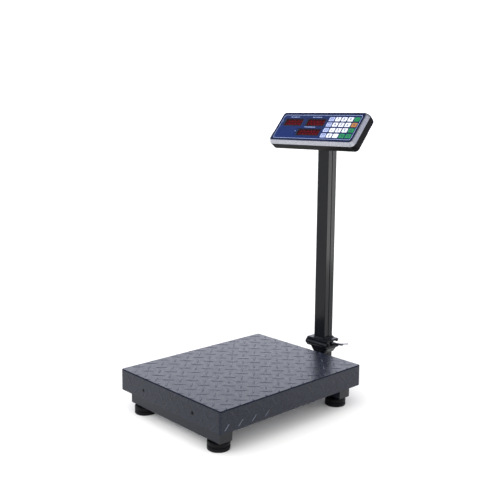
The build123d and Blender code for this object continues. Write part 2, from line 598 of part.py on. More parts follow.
# Charger socket, closed by its rubber plug.
jack = rod_z(socket_u, low_v, back - 0.8, back + 12, 5.8)
plug_face = rod_z(socket_u, low_v, back - 1.6, back - 0.8, 4.4)
jack += fillet(plug_face.edges().group_by(Axis.Z)[0], 0.5)
keep("charger_socket", centre * jack)

# Power rocker: turns on a pivot across the face, two shallow faces in a V.
half_rocker = rocker_size[0] / 2
rocker_profile = Polyline(
    (-half_rocker, 3.0), (-half_rocker, -5.4), (0, -3.4), (half_rocker, -7.4), (half_rocker, 3.0),
    (0, 8.0), close=True)
rocker = extrude(make_face(Plane.XZ * rocker_profile), rocker_size[1] / 2, both=True)
rocker &= Rot(90, 0, 0) * Cylinder(half_rocker + 0.3, 40)
rocker -= Rot(90, 0, 0) * Cylinder(1.2, 40)
keep("power_rocker", centre * Pos(rocker_u, low_v, rocker_pivot) * rocker)

# Face panel with its window and key openings.
panel_low = -PANEL - PANEL_RECESS
panel_corner = rim_corner - 0.2
panel = slab(FACE_WIDTH - 2 * BEZEL_RIM - 0.4, FACE_HEIGHT - 2 * BEZEL_RIM - 0.4, panel_corner, panel_low,
             -PANEL_RECESS)
panes = []
modules = []
for left, low, right, high in WINDOWS:
    middle = Pos((left + right) / 2, (low + high) / 2 - FACE_HEIGHT / 2, 0)
    panel -= middle * slab(right - left, high - low, 1.5, panel_low - 1, 1)
    panes.append(centre * middle * slab(right - left - 0.3, high - low - 0.3, 1.4, panel_low, -PANEL_RECESS - 0.6))
    modules.append(centre * middle * slab(right - left - 6, high - low - 5, 1.0, -10.5, panel_low - 0.6))
key_opening = (KEY_WIDTH + 2 * KEY_PLAY, KEY_HEIGHT + 2 * KEY_PLAY)
keys = {}
for row in range(KEY_ROWS):
    for col in range(KEY_COLUMNS):
        place = Pos(KEY_LEFT + col * KEY_PITCH_X, KEY_TOP_ROW - row * KEY_PITCH_Y - FACE_HEIGHT / 2, 0)
        panel -= place * slab(*key_opening, 1.6, panel_low - 1, 1)
        top = slab(KEY_WIDTH, KEY_HEIGHT, 1.5, panel_low - KEY_FLANGE - 0.2, KEY_PROUD)
        top = fillet(top.edges().group_by(Axis.Z)[-1], 0.5)
        flange = slab(KEY_WIDTH + 2.4, KEY_HEIGHT + 2.4, 1.5, panel_low - KEY_FLANGE - 0.2, panel_low - 0.2)
        keys[f"key_row{row + 1}_col{col + 1}"] = centre * place * (top + flange)
keep("face_panel", centre * panel)
keep("display_windows", *panes)
keep("display_modules", *modules)
for name, cap_solid in keys.items():
    keep(name, cap_solid)

# Circuit board behind the displays and keys, and the battery pack.
board = slab(270.0, 88.0, 2.0, -12.2, -10.6)
keep("circuit_board", centre * board)
pack = slab(100.0, 50.0, 4.0, -33.5, -13.5)
keep("battery_pack", centre * Pos(30, 5, 0) * pack)

# Bracket: a plate on the housing's back with two ears round the lug.
plate_low = back - 3.0
bracket_plate = Pos(0, tilt_v - FACE_HEIGHT / 2, 0) * slab(48.0, 34.0, 4.0, plate_low, back)
ear_in = LUG_HALF + EAR_GAP
for side in (-1, 1):
    x0 = ear_in if side > 0 else -ear_in - EAR
    v = tilt_v - FACE_HEIGHT / 2
    ear = block(x0, x0 + EAR, v - EAR_RADIUS, v + EAR_RADIUS, tilt_n, back - 1)
    ear += rod_x(x0, x0 + EAR, v, tilt_n, EAR_RADIUS)
    ear -= rod_x(x0 - 1, x0 + EAR + 1, v, tilt_n, PIN_RADIUS + HOLE_PLAY)
    bracket_plate += ear
keep("head_bracket", centre * bracket_plate)

# Tilt bolt with a round knob on the right-hand side.
ear_out = ear_in + EAR
tilt_bolt = rod_x(-ear_out - 0.1, ear_out + 8, TILT_Y, TILT_Z, PIN_RADIUS)
tilt_bolt += rod_x(-ear_out - 5.1, -ear_out - 0.1, TILT_Y, TILT_Z, 6.5)
knob = rod_x(ear_out + 0.1, ear_out + 14, TILT_Y, TILT_Z, 11.0)
knob = fillet(knob.edges().group_by(Axis.X)[-1], 2.0)
tilt_bolt += knob
keep("tilt_bolt", tilt_bolt)

# ---- write the parts ------------------------------------------------------
os.makedirs("parts", exist_ok=True)
for name, solid in parts.items():
    export_step(solid, f"parts/{name}.step")
print(len(parts), "nodes written")
print("tilt axis on the face:", round(tilt_v, 2), round(tilt_n, 2))
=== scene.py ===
# %% [markdown]
# # A platform shipping scale
# The scale comes apart into a steel deck on four rubber feet, a square column that folds down
# on a cast hinge, and a tilting head with a keypad. The working parts are loaded as they were
# constructed, at their real size, and this lesson gives them their finishes and the fine
# pieces that the eye looks for: raised tread bars, printing, key legends and display digits.
# Sizes of the pieces are in millimetres and turned to metres where a mesh is made. Only the
# camera, the lamps and the floor are placed in metres.

# %% Load the constructed parts
import bpy
import bmesh
import json
import math
import numpy as np
from mathutils import Matrix, Quaternion, Vector


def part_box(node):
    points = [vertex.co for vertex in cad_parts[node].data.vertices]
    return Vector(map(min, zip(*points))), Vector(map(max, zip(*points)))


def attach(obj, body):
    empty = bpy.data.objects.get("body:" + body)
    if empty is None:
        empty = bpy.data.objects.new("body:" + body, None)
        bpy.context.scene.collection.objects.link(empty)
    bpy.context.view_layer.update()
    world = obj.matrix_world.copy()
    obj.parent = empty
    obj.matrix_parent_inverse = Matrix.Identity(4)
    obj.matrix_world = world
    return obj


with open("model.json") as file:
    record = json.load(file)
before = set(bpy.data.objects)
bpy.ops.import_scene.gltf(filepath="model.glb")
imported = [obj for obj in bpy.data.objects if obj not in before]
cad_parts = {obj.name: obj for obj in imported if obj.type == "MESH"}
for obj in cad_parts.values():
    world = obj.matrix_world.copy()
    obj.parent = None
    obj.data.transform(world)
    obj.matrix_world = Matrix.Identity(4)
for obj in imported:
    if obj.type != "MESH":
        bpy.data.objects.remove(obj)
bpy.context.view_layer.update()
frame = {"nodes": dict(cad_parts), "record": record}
nodes = frame["nodes"]
bodies = frame["record"]["behaviour"]["bodies"]
node_body = {node: body for body, members in bodies.items() for node in members}
node_slot = {row["node"]: row["material_slot"] for row in frame["record"]["subparts"]}
MM = 0.001
scene = bpy.context.scene

# %% [markdown]
# ## Camera
# The camera stands to the right of the operator, a little above the keypad, and looks down
# across the deck. A lens of about 54 mm on a 36 mm frame keeps the column nearly straight, and
# a small downward shift of the frame keeps it upright, as a raised lens board would. Two
# helpers put a thing into the scene and aim it by its place and a target, which is easier to
# read than angles. The lamps use them too.

# %% Camera
CAMERA_PLACE = Vector((1.4281, -1.3638, 0.7734))
CAMERA_TARGET = Vector((0.0251, -0.0500, 0.4995))
CAMERA_LENS = 54.31
FRAME_WIDTH = 36.0
CAMERA_SHIFT = -0.05
CAMERA_ROLL = math.radians(0.53)


def linked(name, data):
    """A new object in the scene."""
    thing = bpy.data.objects.new(name, data)
    scene.collection.objects.link(thing)
    return thing


def aim(thing, place, target, roll=0.0):
    """Set a thing at place with its -Z axis towards target, rolled about that axis."""
    way = (Vector(target) - Vector(place)).to_track_quat("-Z", "Y")
    thing.location = place
    thing.rotation_mode = "QUATERNION"
    thing.rotation_quaternion = way @ Quaternion((0, 0, 1), roll)


camera = linked("camera", bpy.data.cameras.new("camera"))
camera.data.lens = CAMERA_LENS
camera.data.sensor_width = FRAME_WIDTH
camera.data.shift_y = CAMERA_SHIFT
aim(camera, CAMERA_PLACE, CAMERA_TARGET, CAMERA_ROLL)
scene.camera = camera
print("camera", round((CAMERA_TARGET - CAMERA_PLACE).length, 2), "m from its target")

# %% [markdown]
# ## Helpers for colours and nodes
# Colours are written as the hex values that a paint chart or a screen shows. Blender works in
# linear light, so one function converts them. A second one adds a node to any tree, sets its
# properties and fills or links its inputs: every material and every Geometry Nodes tree
# below is written with it. A third one opens a material with a single shader.


# %% Colour and node helpers
def linear(hex_colour):
    """'#rrggbb' as seen on a screen, to linear red, green, blue and alpha."""
    shown = [int(hex_colour[i:i + 2], 16) / 255 for i in (1, 3, 5)]
    return [c / 12.92 if c <= 0.04045 else ((c + 0.055) / 1.055) ** 2.4 for c in shown] + [1.0]


def add(tree, kind, inputs=None, **settings):
    """Add one node, set its properties, and fill its inputs with values or links."""
    node = tree.nodes.new(kind)
    for key, value in settings.items():
        setattr(node, key, value)
    for key, value in (inputs or {}).items():
        if isinstance(value, bpy.types.NodeSocket):
            tree.links.new(value, node.inputs[key])
        else:
            node.inputs[key].default_value = value
    return node


def shader(name, colour, **fixed):
    """A material with one Principled shader whose plain numbers are set on its own sockets."""
    material = bpy.data.materials.new(name)
    material.use_nodes = True
    tree = material.node_tree
    tree.nodes.clear()
    surface = add(tree, "ShaderNodeBsdfPrincipled", {"Base Color": linear(colour), **fixed})
    add(tree, "ShaderNodeOutputMaterial", {"Surface": surface.outputs["BSDF"]})
    return material, tree, surface


print("middle grey is", round(linear("#808080")[0], 3), "in linear light")

# %% [markdown]
# ## Floor and light
# Dark half-glossy paint shows its gloss only by what it reflects, so the sky is drawn as a
# photographer would hang it: a bright white band low down, all the way round, and a
# dim ceiling. The band is stronger on the left and a little to the back, the part that the
# deck's top mirrors to the eye, while its rounded edges mirror the ceiling and read as dark
# lines. A broad soft sun stands on the camera's side, so that the shadow on the floor hides
# behind the deck, and a weaker one from the right reaches under it. Both are hidden from
# reflections, or every rounded edge would carry a bright spot. A lit card beside the column
# is what the column's side mirrors.

# %% Floor, sky, suns and card
FLOOR_SIZE = 60.0
BAND_STRENGTH = 1.75
CEILING_STRENGTH = 0.22
BRIGHT_SIDE = (-0.95, 0.3, 0.0)
BAND_SHARES = (0.48, 1.51)
BAND_TOP = math.radians(24)
CEILING_LOW = math.radians(40)
floor_mesh = bpy.data.meshes.new("floor")
half = FLOOR_SIZE / 2
floor_corners = [(-half, -half, 0), (half, -half, 0), (half, half, 0), (-half, half, 0)]
floor_mesh.from_pydata(floor_corners, [], [(0, 1, 2, 3)])
floor = linked("floor", floor_mesh)
paper = shader("matt_pale_paper", "#f3f2ee", Roughness=0.9, **{"Specular IOR Level": 0.0})[0]
floor_mesh.materials.append(paper)

world = bpy.data.worlds.new("studio")
scene.world = world
world.use_nodes = True
sky = world.node_tree
sky_shader = sky.nodes["Background"]
sky_shader.inputs["Color"].default_value = linear("#eceffd")
sky_way = add(sky, "ShaderNodeTexCoord").outputs["Generated"]
sky_up = add(sky, "ShaderNodeSeparateXYZ", {0: sky_way})
sky_side = add(sky, "ShaderNodeVectorMath", {0: sky_way, 1: BRIGHT_SIDE}, operation="DOT_PRODUCT")
sky_gain = add(sky, "ShaderNodeMapRange", {
    "Value": sky_side.outputs["Value"], "From Min": -1.0,
    "To Min": BAND_SHARES[0], "To Max": BAND_SHARES[1]})
sky_share = add(sky, "ShaderNodeMapRange", {
    "Value": sky_up.outputs["Z"], "From Min": math.sin(BAND_TOP), "From Max": math.sin(CEILING_LOW),
    "To Min": BAND_STRENGTH, "To Max": CEILING_STRENGTH}, interpolation_type="SMOOTHSTEP")
sky_light = add(sky, "ShaderNodeMath", {
    0: sky_share.outputs[0], 1: sky_gain.outputs[0]}, operation="MULTIPLY")
sky.links.new(sky_light.outputs[0], sky_shader.inputs["Strength"])


def place_lamp(name, kind, place, target=(0, 0, 0), mirrored=False, **settings):
    """A lamp that is out of the picture, and shows in reflections only if mirrored."""
    lamp = linked(name, bpy.data.lights.new(name, kind))
    for key, value in settings.items():
        setattr(lamp.data, key, value)
    aim(lamp, place, target)
    lamp.visible_camera = False
    lamp.visible_glossy = mirrored


place_lamp("soft_sun", "SUN", (0.9, -2.0, 3.0), energy=3.4, angle=math.radians(90))
place_lamp("right_fill", "SUN", (3.0, -0.6, 1.3), energy=0.5, angle=math.radians(60))
place_lamp("side_card", "AREA", (1.45, 1.35, 0.36), (0, 0.25, 0.36), mirrored=True,
           energy=6.7, shape="RECTANGLE", size=1.1, size_y=0.7)
scene.view_settings.view_transform = "Standard"
print("sky", BAND_STRENGTH, "to", CEILING_STRENGTH, "with", len(bpy.data.lights), "lamps")

# %% [markdown]
# ## How a finish is built
# Paint, plastic and rubber are never one flat colour. Each has a grain of a known size:
# orange peel on paint is a millimetre or two across, the texture of a moulded case less than
# one. `grained` reads Object coordinates, which are metres on the part, so a grain in
# millimetres gives the noise its scale directly. The same noise shifts the colour a little,
# changes the roughness, and lifts the surface. A second, wide noise adds the slow
# cloudiness that handling and spraying leave.


# %% The shared recipe for a grained finish
NOISE_SPREAD = (0.7, 1.3)


def cover(tree, surface, colour, share, rough, height, relief):
    """Link a shader's colour, its roughness (a range, by share) and its relief (mm, by height)."""
    dull = add(tree, "ShaderNodeMapRange", {"Value": share, "To Min": rough[0], "To Max": rough[1]})
    lift = add(tree, "ShaderNodeBump", {"Height": height, "Distance": relief * MM})
    sources = {"Base Color": colour, "Roughness": dull.outputs[0], "Normal": lift.outputs[0]}
    for name, source in sources.items():
        tree.links.new(source, surface.inputs[name])


def grained(name, dark, light, rough, grain, relief, cloud=60.0, **fixed):
    """Two colours mixed by a grain and a cloud, with a relief, all in mm. rough is a range."""
    material, tree, surface = shader(name, dark, **fixed)
    place = add(tree, "ShaderNodeTexCoord").outputs["Object"]
    fine, wide = (
        add(tree, "ShaderNodeTexNoise", {
            "Vector": place, "Scale": 1 / (size * MM), "Detail": detail}).outputs["Fac"]
        for size, detail in ((grain, 2.0), (cloud, 3.0)))
    both = add(tree, "ShaderNodeMath", {0: fine, 1: wide}, operation="ADD")
    share = add(tree, "ShaderNodeMapRange", {
        "Value": both.outputs[0], "From Min": NOISE_SPREAD[0], "From Max": NOISE_SPREAD[1]})
    tint = add(tree, "ShaderNodeMix", {
        0: share.outputs[0], 6: linear(dark), 7: linear(light)}, data_type="RGBA")
    cover(tree, surface, tint.outputs[2], share.outputs[0], rough, fine, relief)
    return material


print("a grain of 2 mm is a noise scale of", round(1 / (2 * MM)))
finishes = {}

# %% [markdown]
# ### Paints
# The deck is sprayed with a charcoal powder coat. Powder melts as it cures, so it leaves a
# fine orange peel and a soft gloss: the top picks up the bright studio at a low angle, and the
# sides stay dark. Powder draws back from a bend as it melts, so the folded edges are dull
# and show as dark lines: the shader finds them by their slope and height. The tread bars on
# top have a coat of their own, paler where it faces up: partly the rubbing of shoes and boxes,
# partly a painted highlight on the bars' crowns. The frame below has the same paint, blacker
# and duller. The column is stove enamelled, the glossiest paint here, with a longer, flatter
# peel. The hinge is a casting, and its enamel lies over a sandy skin.

# %% Powder coats and enamels
PAINT_IOR = 1.36
DECK_IOR = 1.33
FLAT_SHINE = 0.5
BEND_SHINE = 0.05
BEND_ROUGHNESS = 0.8
BEND_SLOPES = (0.99, 0.93)
BEND_DEPTHS = (2.8, 2.2)
WEAR_AND_HIGHLIGHT_SLOPES = (0.5, 0.9)


def deck_coat(name, dark, light, top_wear_and_highlight=None):
    """The deck's powder coat, dull on its bends. top_wear_and_highlight is its colour where it faces
    up, as wear and a painted highlight together.
    """
    material = grained(
        name, dark, light, rough=(0.22, 0.40), grain=2.2, relief=0.08, cloud=9.0, IOR=DECK_IOR)
    tree = material.node_tree
    sockets = tree.nodes["Principled BSDF"].inputs
    colour, roughness = (sockets[key].links[0].from_socket for key in ("Base Color", "Roughness"))
    place = add(tree, "ShaderNodeTexCoord")
    facing = add(tree, "ShaderNodeSeparateXYZ", {0: place.outputs["Normal"]}).outputs["Z"]
    level = add(tree, "ShaderNodeSeparateXYZ", {0: place.outputs["Object"]}).outputs["Z"]
    sloped = add(tree, "ShaderNodeMapRange", {
        "Value": facing, "From Min": BEND_SLOPES[0], "From Max": BEND_SLOPES[1]})
    bend_low, bend_high = (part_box("deck_cover")[1].z - depth * MM for depth in BEND_DEPTHS)
    near_top = add(tree, "ShaderNodeMapRange", {
        "Value": level, "From Min": bend_low, "From Max": bend_high})
    on_bend = add(tree, "ShaderNodeMath", {
        0: sloped.outputs[0], 1: near_top.outputs[0]}, operation="MULTIPLY").outputs[0]
    shine = add(tree, "ShaderNodeMapRange", {
        "Value": on_bend, "To Min": FLAT_SHINE, "To Max": BEND_SHINE})
    tree.links.new(shine.outputs[0], sockets["Specular IOR Level"])
    # The bend is roughened too: an export keeps a roughness that changes, but not a specular level.
    dull = add(tree, "ShaderNodeMath", {0: on_bend, 1: BEND_ROUGHNESS}, operation="MULTIPLY")
    duller = add(tree, "ShaderNodeMath", {0: dull.outputs[0], 1: roughness}, operation="MAXIMUM")
    tree.links.new(duller.outputs[0], sockets["Roughness"])
    # Upward faces take a paler colour: partly wear, partly a painted highlight on the crowns.
    if top_wear_and_highlight:
        upward = add(tree, "ShaderNodeMapRange", {
            "Value": facing, "From Min": WEAR_AND_HIGHLIGHT_SLOPES[0], "From Max": WEAR_AND_HIGHLIGHT_SLOPES[1]})
        wear_and_highlight = add(tree, "ShaderNodeMix", {
            0: upward.outputs[0], 6: colour, 7: linear(top_wear_and_highlight)}, data_type="RGBA")
        tree.links.new(wear_and_highlight.outputs[2], sockets["Base Color"])
    return material


finishes["deck_paint"] = deck_coat("charcoal_powder_coat", "#0e1119", "#1b1f2c")
# The tread bars' coat, paler where it faces up: wear and a painted highlight together.
worn_and_highlit_coat = deck_coat("rubbed_powder_coat", "#0e1119", "#1b1f2c", top_wear_and_highlight="#2a2f3c")
finishes["frame_paint"] = grained(
    "black_powder_coat", "#0b0e16", "#151923",
    rough=(0.34, 0.46), grain=1.6, relief=0.06, cloud=12.0, IOR=PAINT_IOR)
finishes["column_paint"] = grained(
    "black_stove_enamel", "#07080b", "#0e0f13",
    rough=(0.10, 0.18), grain=4.0, relief=0.03, cloud=120.0, IOR=1.30)
finishes["hinge_paint"] = grained(
    "black_enamel_on_cast_iron", "#08090c", "#121318",
    rough=(0.24, 0.38), grain=1.3, relief=0.12, cloud=15.0, IOR=1.30)
print("paints:", [m.name for m in finishes.values()])

# %% [markdown]
# ### Plastics and rubber
# The rear of the head is ABS moulded in a spark-eroded tool, which prints an even grain on
# it. The silver bezel is the same plastic, sprayed with a metallic lacquer. Keys are
# silicone rubber with a silky skin. The feet and plugs are black rubber and polythene,
# which scatter light and look grey where it grazes them. The textured case and the rubber are
# given a lower IOR than the solid stuff has: pits in a rough skin trap light, and a
# lower IOR takes off as much of the gloss.

# %% Moulded finishes
ABS_IOR = 1.40
RUBBER_IOR = 1.22
finishes["housing_black"] = grained(
    "textured_black_abs", "#040405", "#0a0a0c",
    rough=(0.38, 0.52), grain=0.9, relief=0.05, IOR=1.13)
finishes["bezel_silver"] = grained(
    "silver_lacquered_abs", "#999aa1", "#b1b2b9",
    rough=(0.22, 0.32), grain=0.8, relief=0.02, cloud=6.0, IOR=ABS_IOR, Metallic=0.85)
finishes["cap_plastic"] = grained(
    "black_polythene", "#0d0e11", "#17181b",
    rough=(0.35, 0.50), grain=2.5, relief=0.04, IOR=ABS_IOR)
finishes["foot_rubber"] = grained(
    "black_moulded_rubber", "#050506", "#0e0e10",
    rough=(0.42, 0.60), grain=1.4, relief=0.06, cloud=25.0, IOR=RUBBER_IOR)
for slot_name, dark, light in (
        ("key_white", "#c4c9d2", "#d8dce2"),
        ("key_lilac", "#8f9cc4", "#a9b3d2"),
        ("key_green", "#12663a", "#1d7c4b"),
        ("key_orange", "#8f5f2e", "#a47039")):
    finishes[slot_name] = grained(
        slot_name.replace("key", "silicone_rubber"), dark, light,
        rough=(0.38, 0.50), grain=1.1, relief=0.02, cloud=9.0, IOR=1.43)
print("moulded finishes:", len(finishes) - 4)

# %% [markdown]
# ### Metals and inner parts
# Zinc plate on the fasteners is bright and slightly cloudy. Black screws are oxide finished
# steel. The load cell is a milled aluminium bar: the cutter leaves fine lines across it,
# so its noise is stretched along one axis by a Mapping node.

# %% Metals
finishes["screw_steel"] = grained(
    "zinc_plated_steel", "#9fa3a9", "#c3c6ca",
    rough=(0.22, 0.38), grain=1.0, relief=0.01, cloud=8.0, Metallic=1.0)
black_oxide = grained(
    "black_oxide_steel", "#0a0a0c", "#141417",
    rough=(0.40, 0.55), grain=0.7, relief=0.01, cloud=6.0, Metallic=1.0)
rod_steel = grained(
    "bright_drawn_steel", "#aeb2b8", "#cfd2d6",
    rough=(0.18, 0.28), grain=1.2, relief=0.01, cloud=20.0, Metallic=1.0)

MILLING_PITCH = 0.5
MILLING_STRETCH = (0.04, 1.0, 0.3)
aluminium, tree, surface = shader("milled_aluminium", "#b4b7ba", Metallic=1.0, Roughness=0.3)
place = add(tree, "ShaderNodeTexCoord").outputs["Object"]
stretch = add(tree, "ShaderNodeMapping", {"Vector": place, "Scale": MILLING_STRETCH})
lines = add(tree, "ShaderNodeTexNoise", {
    "Vector": stretch.outputs[0], "Scale": 1 / (MILLING_PITCH * MM), "Detail": 2.0}).outputs["Fac"]
tint = add(tree, "ShaderNodeMix", {
    0: lines, 6: linear("#a2a5a9"), 7: linear("#c4c7ca")}, data_type="RGBA")
cover(tree, surface, tint.outputs[2], share=lines, rough=(0.22, 0.40), height=lines, relief=0.01)
finishes["cell_aluminium"] = aluminium
print("metals:", black_oxide.name, rod_steel.name, aluminium.name)

# %% Display, board and battery
finishes["module_grey"] = grained(
    "black_epoxy_display", "#1c1113", "#25181a", rough=(0.4, 0.5), grain=1.5, relief=0.01, IOR=1.55)
finishes["board_green"] = grained(
    "solder_resist_green", "#1c5a37", "#256b44", rough=(0.25, 0.4), grain=2.0, relief=0.02, IOR=1.5)
finishes["battery_grey"] = grained(
    "shrink_wrap_grey", "#44474d", "#54575d", rough=(0.3, 0.45), grain=3.0, relief=0.05, IOR=1.5)
finishes["window_red"] = grained(
    "smoked_red_acrylic", "#240208", "#33040c",
    rough=(0.06, 0.12), grain=8.0, relief=0.002, IOR=1.40, Alpha=0.6)
print(len(finishes), "finishes by slot")

# %% [markdown]
# ## Dressing the constructed parts
# Each part names the finish it takes, so one loop gives every part its material. A few
# fasteners are blackened instead of zinc plated, and the latch's rod is bright steel. The
# face panel waits for its printed overlay.

# %% Assign the finishes
blackened = ("deck_screws", "clamp_screws", "housing_screws", "hinge_pin")
special = {**dict.fromkeys(blackened, black_oxide), "latch_rod": rod_steel}


def paint(mesh, finish):
    """Give a whole mesh one finish."""
    mesh.materials.clear()
    mesh.materials.append(finish)
    mesh.polygons.foreach_set("material_index", [0] * len(mesh.polygons))


for name, node in nodes.items():
    if name != "face_panel":
        paint(node.data, special.get(name) or finishes[node_slot[name]])
print("dressed", len(nodes) - 1, "parts")

# %% [markdown]
# ## Pieces and trees
# A few helpers serve everything that follows. `new_piece` links a mesh, gives it a finish,
# and lets it ride on a body. `start_tree` opens a Geometry Nodes tree with named inputs, and
# `end_tree` closes it. `grow` runs such a tree on a mesh and hands back the plain mesh it
# makes, because a plain mesh can ride, be exported and be measured, and instances can't. A
# tree that copies a mesh takes it from an object, which is there only while the tree runs.


# %% Helpers for pieces and Geometry Nodes
def new_piece(name, mesh, finish, body, smooth=None):
    """Link a mesh as a finished piece of the object. Edges up to smooth degrees stay rounded."""
    piece = linked(name, mesh)
    mesh.name = name
    paint(mesh, finish)
    if smooth is not None:
        mesh.polygons.foreach_set("use_smooth", [True] * len(mesh.polygons))
        mesh.set_sharp_from_angle(angle=math.radians(smooth))
    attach(piece, body)


def mesh_of(shape):
    """The mesh of an edited shape, with its normals turned outwards. The shape is then freed."""
    bmesh.ops.recalc_face_normals(shape, faces=shape.faces)
    mesh = bpy.data.meshes.new("shape")
    shape.to_mesh(mesh)
    shape.free()
    return mesh


def solid_mesh(vertices, faces):
    """A mesh from vertices in millimetres and faces."""
    shape = bmesh.new()
    corners = [shape.verts.new(Vector(v) * MM) for v in vertices]
    for face in faces:
        shape.faces.new([corners[i] for i in face])
    return mesh_of(shape)


def start_tree(name, **sockets):
    """A Geometry Nodes tree with these named inputs. Underscores in the names become spaces."""
    tree = bpy.data.node_groups.new(name, "GeometryNodeTree")
    tree.interface.new_socket("Geometry", in_out="INPUT", socket_type="NodeSocketGeometry")
    for key, kind in sockets.items():
        tree.interface.new_socket(
            key.replace("_", " "), in_out="INPUT", socket_type="NodeSocket" + kind)
    tree.interface.new_socket("Geometry", in_out="OUTPUT", socket_type="NodeSocketGeometry")
    return tree, add(tree, "NodeGroupInput").outputs


def end_tree(tree, geometry, finish):
    """Turn instances into real geometry, give it its finish, and send it out."""
    real = add(tree, "GeometryNodeRealizeInstances", {0: geometry}).outputs[0]
    painted = add(tree, "GeometryNodeSetMaterial", {"Geometry": real, "Material": finish})
    add(tree, "NodeGroupOutput", {0: painted.outputs[0]})


def plain_mesh(holder):
    """The mesh that an object shows once its modifiers have run. The object is then removed."""
    ready = holder.evaluated_get(bpy.context.evaluated_depsgraph_get())
    made = bpy.data.meshes.new_from_object(ready)
    bpy.data.objects.remove(holder)
    return made


def grow(tree, base=None, copied=None, **values):
    """Run a tree on a base mesh, or on none. copied is the name and the mesh of an Object input."""
    holder = linked("grown", base or bpy.data.meshes.new("empty"))
    modifier = holder.modifiers.new("grow", "NODES")
    modifier.node_group = tree
    if copied:
        values[copied[0]] = linked(*copied)
    for item in tree.interface.items_tree:
        key = item.name.replace(" ", "_")
        if item.in_out == "INPUT" and key in values:
            modifier[item.identifier] = values[key]
    made = plain_mesh(holder)
    if copied:
        bpy.data.objects.remove(values[copied[0]])
    return made


print("helpers ready")

# %% [markdown]
# ## Tread bars
# The deck is rolled tread plate: low pointed bars stand on it at right angles to each other,
# so that a load can't slide either way. The mill rolls them in before the sheet is cut, and
# the pattern runs on over the folds and down the sides. It is made here in the same order:
# a Geometry Nodes tree lays two lattices of bars on a flat sheet, the sheet is trimmed, and
# then every point is carried round the bend. The folding press squashes the bars on the
# sides to about three quarters of their height. Sculpting the bars into the deck would give
# the same look, but the pitch could not be changed afterwards.

# %% One tread bar
BAR_LENGTH = 38.0
BAR_WIDTH = 4.4
BAR_HEIGHT = 0.55
BAR_SUNK = 0.3
BAR_STATIONS = 8
BAR_TAPER = 2.2
BAR_CROWN = 4
BAR_BACK = 0.5
STATION_POINTS = 6


def tread_bar():
    """A bar along X, pointed at both ends, with an arched back and a closed underside."""
    vertices = []
    for i in range(1, BAR_STATIONS):
        along = 2 * i / BAR_STATIONS - 1
        side = BAR_WIDTH / 2 * (1 - abs(along) ** BAR_TAPER)
        crown = BAR_HEIGHT * (1 - along ** BAR_CROWN)
        x = along * BAR_LENGTH / 2
        vertices += [(x, -side, -BAR_SUNK), (x, -side, 0), (x, -side * BAR_BACK, crown),
                     (x, side * BAR_BACK, crown), (x, side, 0), (x, side, -BAR_SUNK)]
    ring = STATION_POINTS
    last = len(vertices) - ring
    tips = len(vertices), len(vertices) + 1
    vertices += [(-BAR_LENGTH / 2, 0, -BAR_SUNK / 2), (BAR_LENGTH / 2, 0, -BAR_SUNK / 2)]
    faces = []
    for k in range(ring):
        after = (k + 1) % ring
        for row in range(0, last, ring):
            faces.append((row + k, row + after, row + ring + after, row + ring + k))
        faces.append((tips[0], after, k))
        faces.append((tips[1], last + k, last + after))
    return solid_mesh(vertices, faces)


bar_mesh = tread_bar()
print("one bar:", len(bar_mesh.polygons), "faces")

# %% The rolled sheet, flat
PITCH_X = 44.5
PITCH_Y = 42.8
LATTICE_START = (-4.0, -44.8)
LATTICE_COUNT = (13, 17)
BAR_SLANT = math.radians(45)
tread_tree, given = start_tree(
    "rolled_tread", Bar="Object", Count_X="Int", Count_Y="Int", Pitch_X="Float", Pitch_Y="Float",
    Start="Vector", Slant="Float", Finish="Material")
bar_shape = add(tread_tree, "GeometryNodeObjectInfo", {"Object": given["Bar"]}).outputs["Geometry"]
spans = {}
for axis in ("X", "Y"):
    gaps = add(tread_tree, "ShaderNodeMath", {
        0: given["Count " + axis], 1: 1.0}, operation="SUBTRACT")
    spans[axis] = add(tread_tree, "ShaderNodeMath", {
        0: gaps.outputs[0], 1: given["Pitch " + axis]}, operation="MULTIPLY").outputs[0]
lattice = add(tread_tree, "GeometryNodeMeshGrid", {
    "Size X": spans["X"], "Size Y": spans["Y"],
    "Vertices X": given["Count X"], "Vertices Y": given["Count Y"]}).outputs["Mesh"]
one_cell = add(tread_tree, "ShaderNodeCombineXYZ", {"X": given["Pitch X"], "Y": given["Pitch Y"]})
both_sets = add(tread_tree, "GeometryNodeJoinGeometry")
for share, turn in ((0.0, 1.0), (0.5, -1.0)):
    shift = add(tread_tree, "ShaderNodeVectorMath", {
        0: one_cell.outputs[0], 1: (share, share, 0), 2: given["Start"]}, operation="MULTIPLY_ADD")
    moved = add(tread_tree, "GeometryNodeTransform", {
        "Geometry": lattice, "Translation": shift.outputs[0]})
    slant = add(tread_tree, "ShaderNodeMath", {0: given["Slant"], 1: turn}, operation="MULTIPLY")
    spin = add(tread_tree, "ShaderNodeCombineXYZ", {"Z": slant.outputs[0]})
    bars = add(tread_tree, "GeometryNodeInstanceOnPoints", {
        "Points": moved.outputs[0], "Instance": bar_shape, "Rotation": spin.outputs[0]})
    tread_tree.links.new(bars.outputs[0], both_sets.inputs[0])
end_tree(tread_tree, both_sets.outputs[0], given["Finish"])

flat_sheet = grow(
    tread_tree, copied=("Bar", bar_mesh),
    Count_X=LATTICE_COUNT[0], Count_Y=LATTICE_COUNT[1], Pitch_X=PITCH_X * MM, Pitch_Y=PITCH_Y * MM,
    Start=[v * MM for v in LATTICE_START] + [0.0], Slant=BAR_SLANT, Finish=worn_and_highlit_coat)
print("flat sheet:", len(flat_sheet.polygons) // len(bar_mesh.polygons), "bars")

# %% Trim the sheet and fold it over the deck
BEND = 2.5
BEND_RUN = BEND * math.pi / 2
SIDE_PRESS = 0.75
CORNER_KEEP = 6.0
EDGE_KEEP = 0.5
SCREW_CLEAR = 8.0
deck_low, deck_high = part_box("deck_cover")
deck_middle = (deck_low + deck_high) / 2
deck_half = np.subtract(deck_high, deck_low)[:2] / 2 / MM
skirt = (deck_high.z - deck_low.z) / MM
flat_reach = deck_half - BEND + BEND_RUN + skirt - BEND - EDGE_KEEP

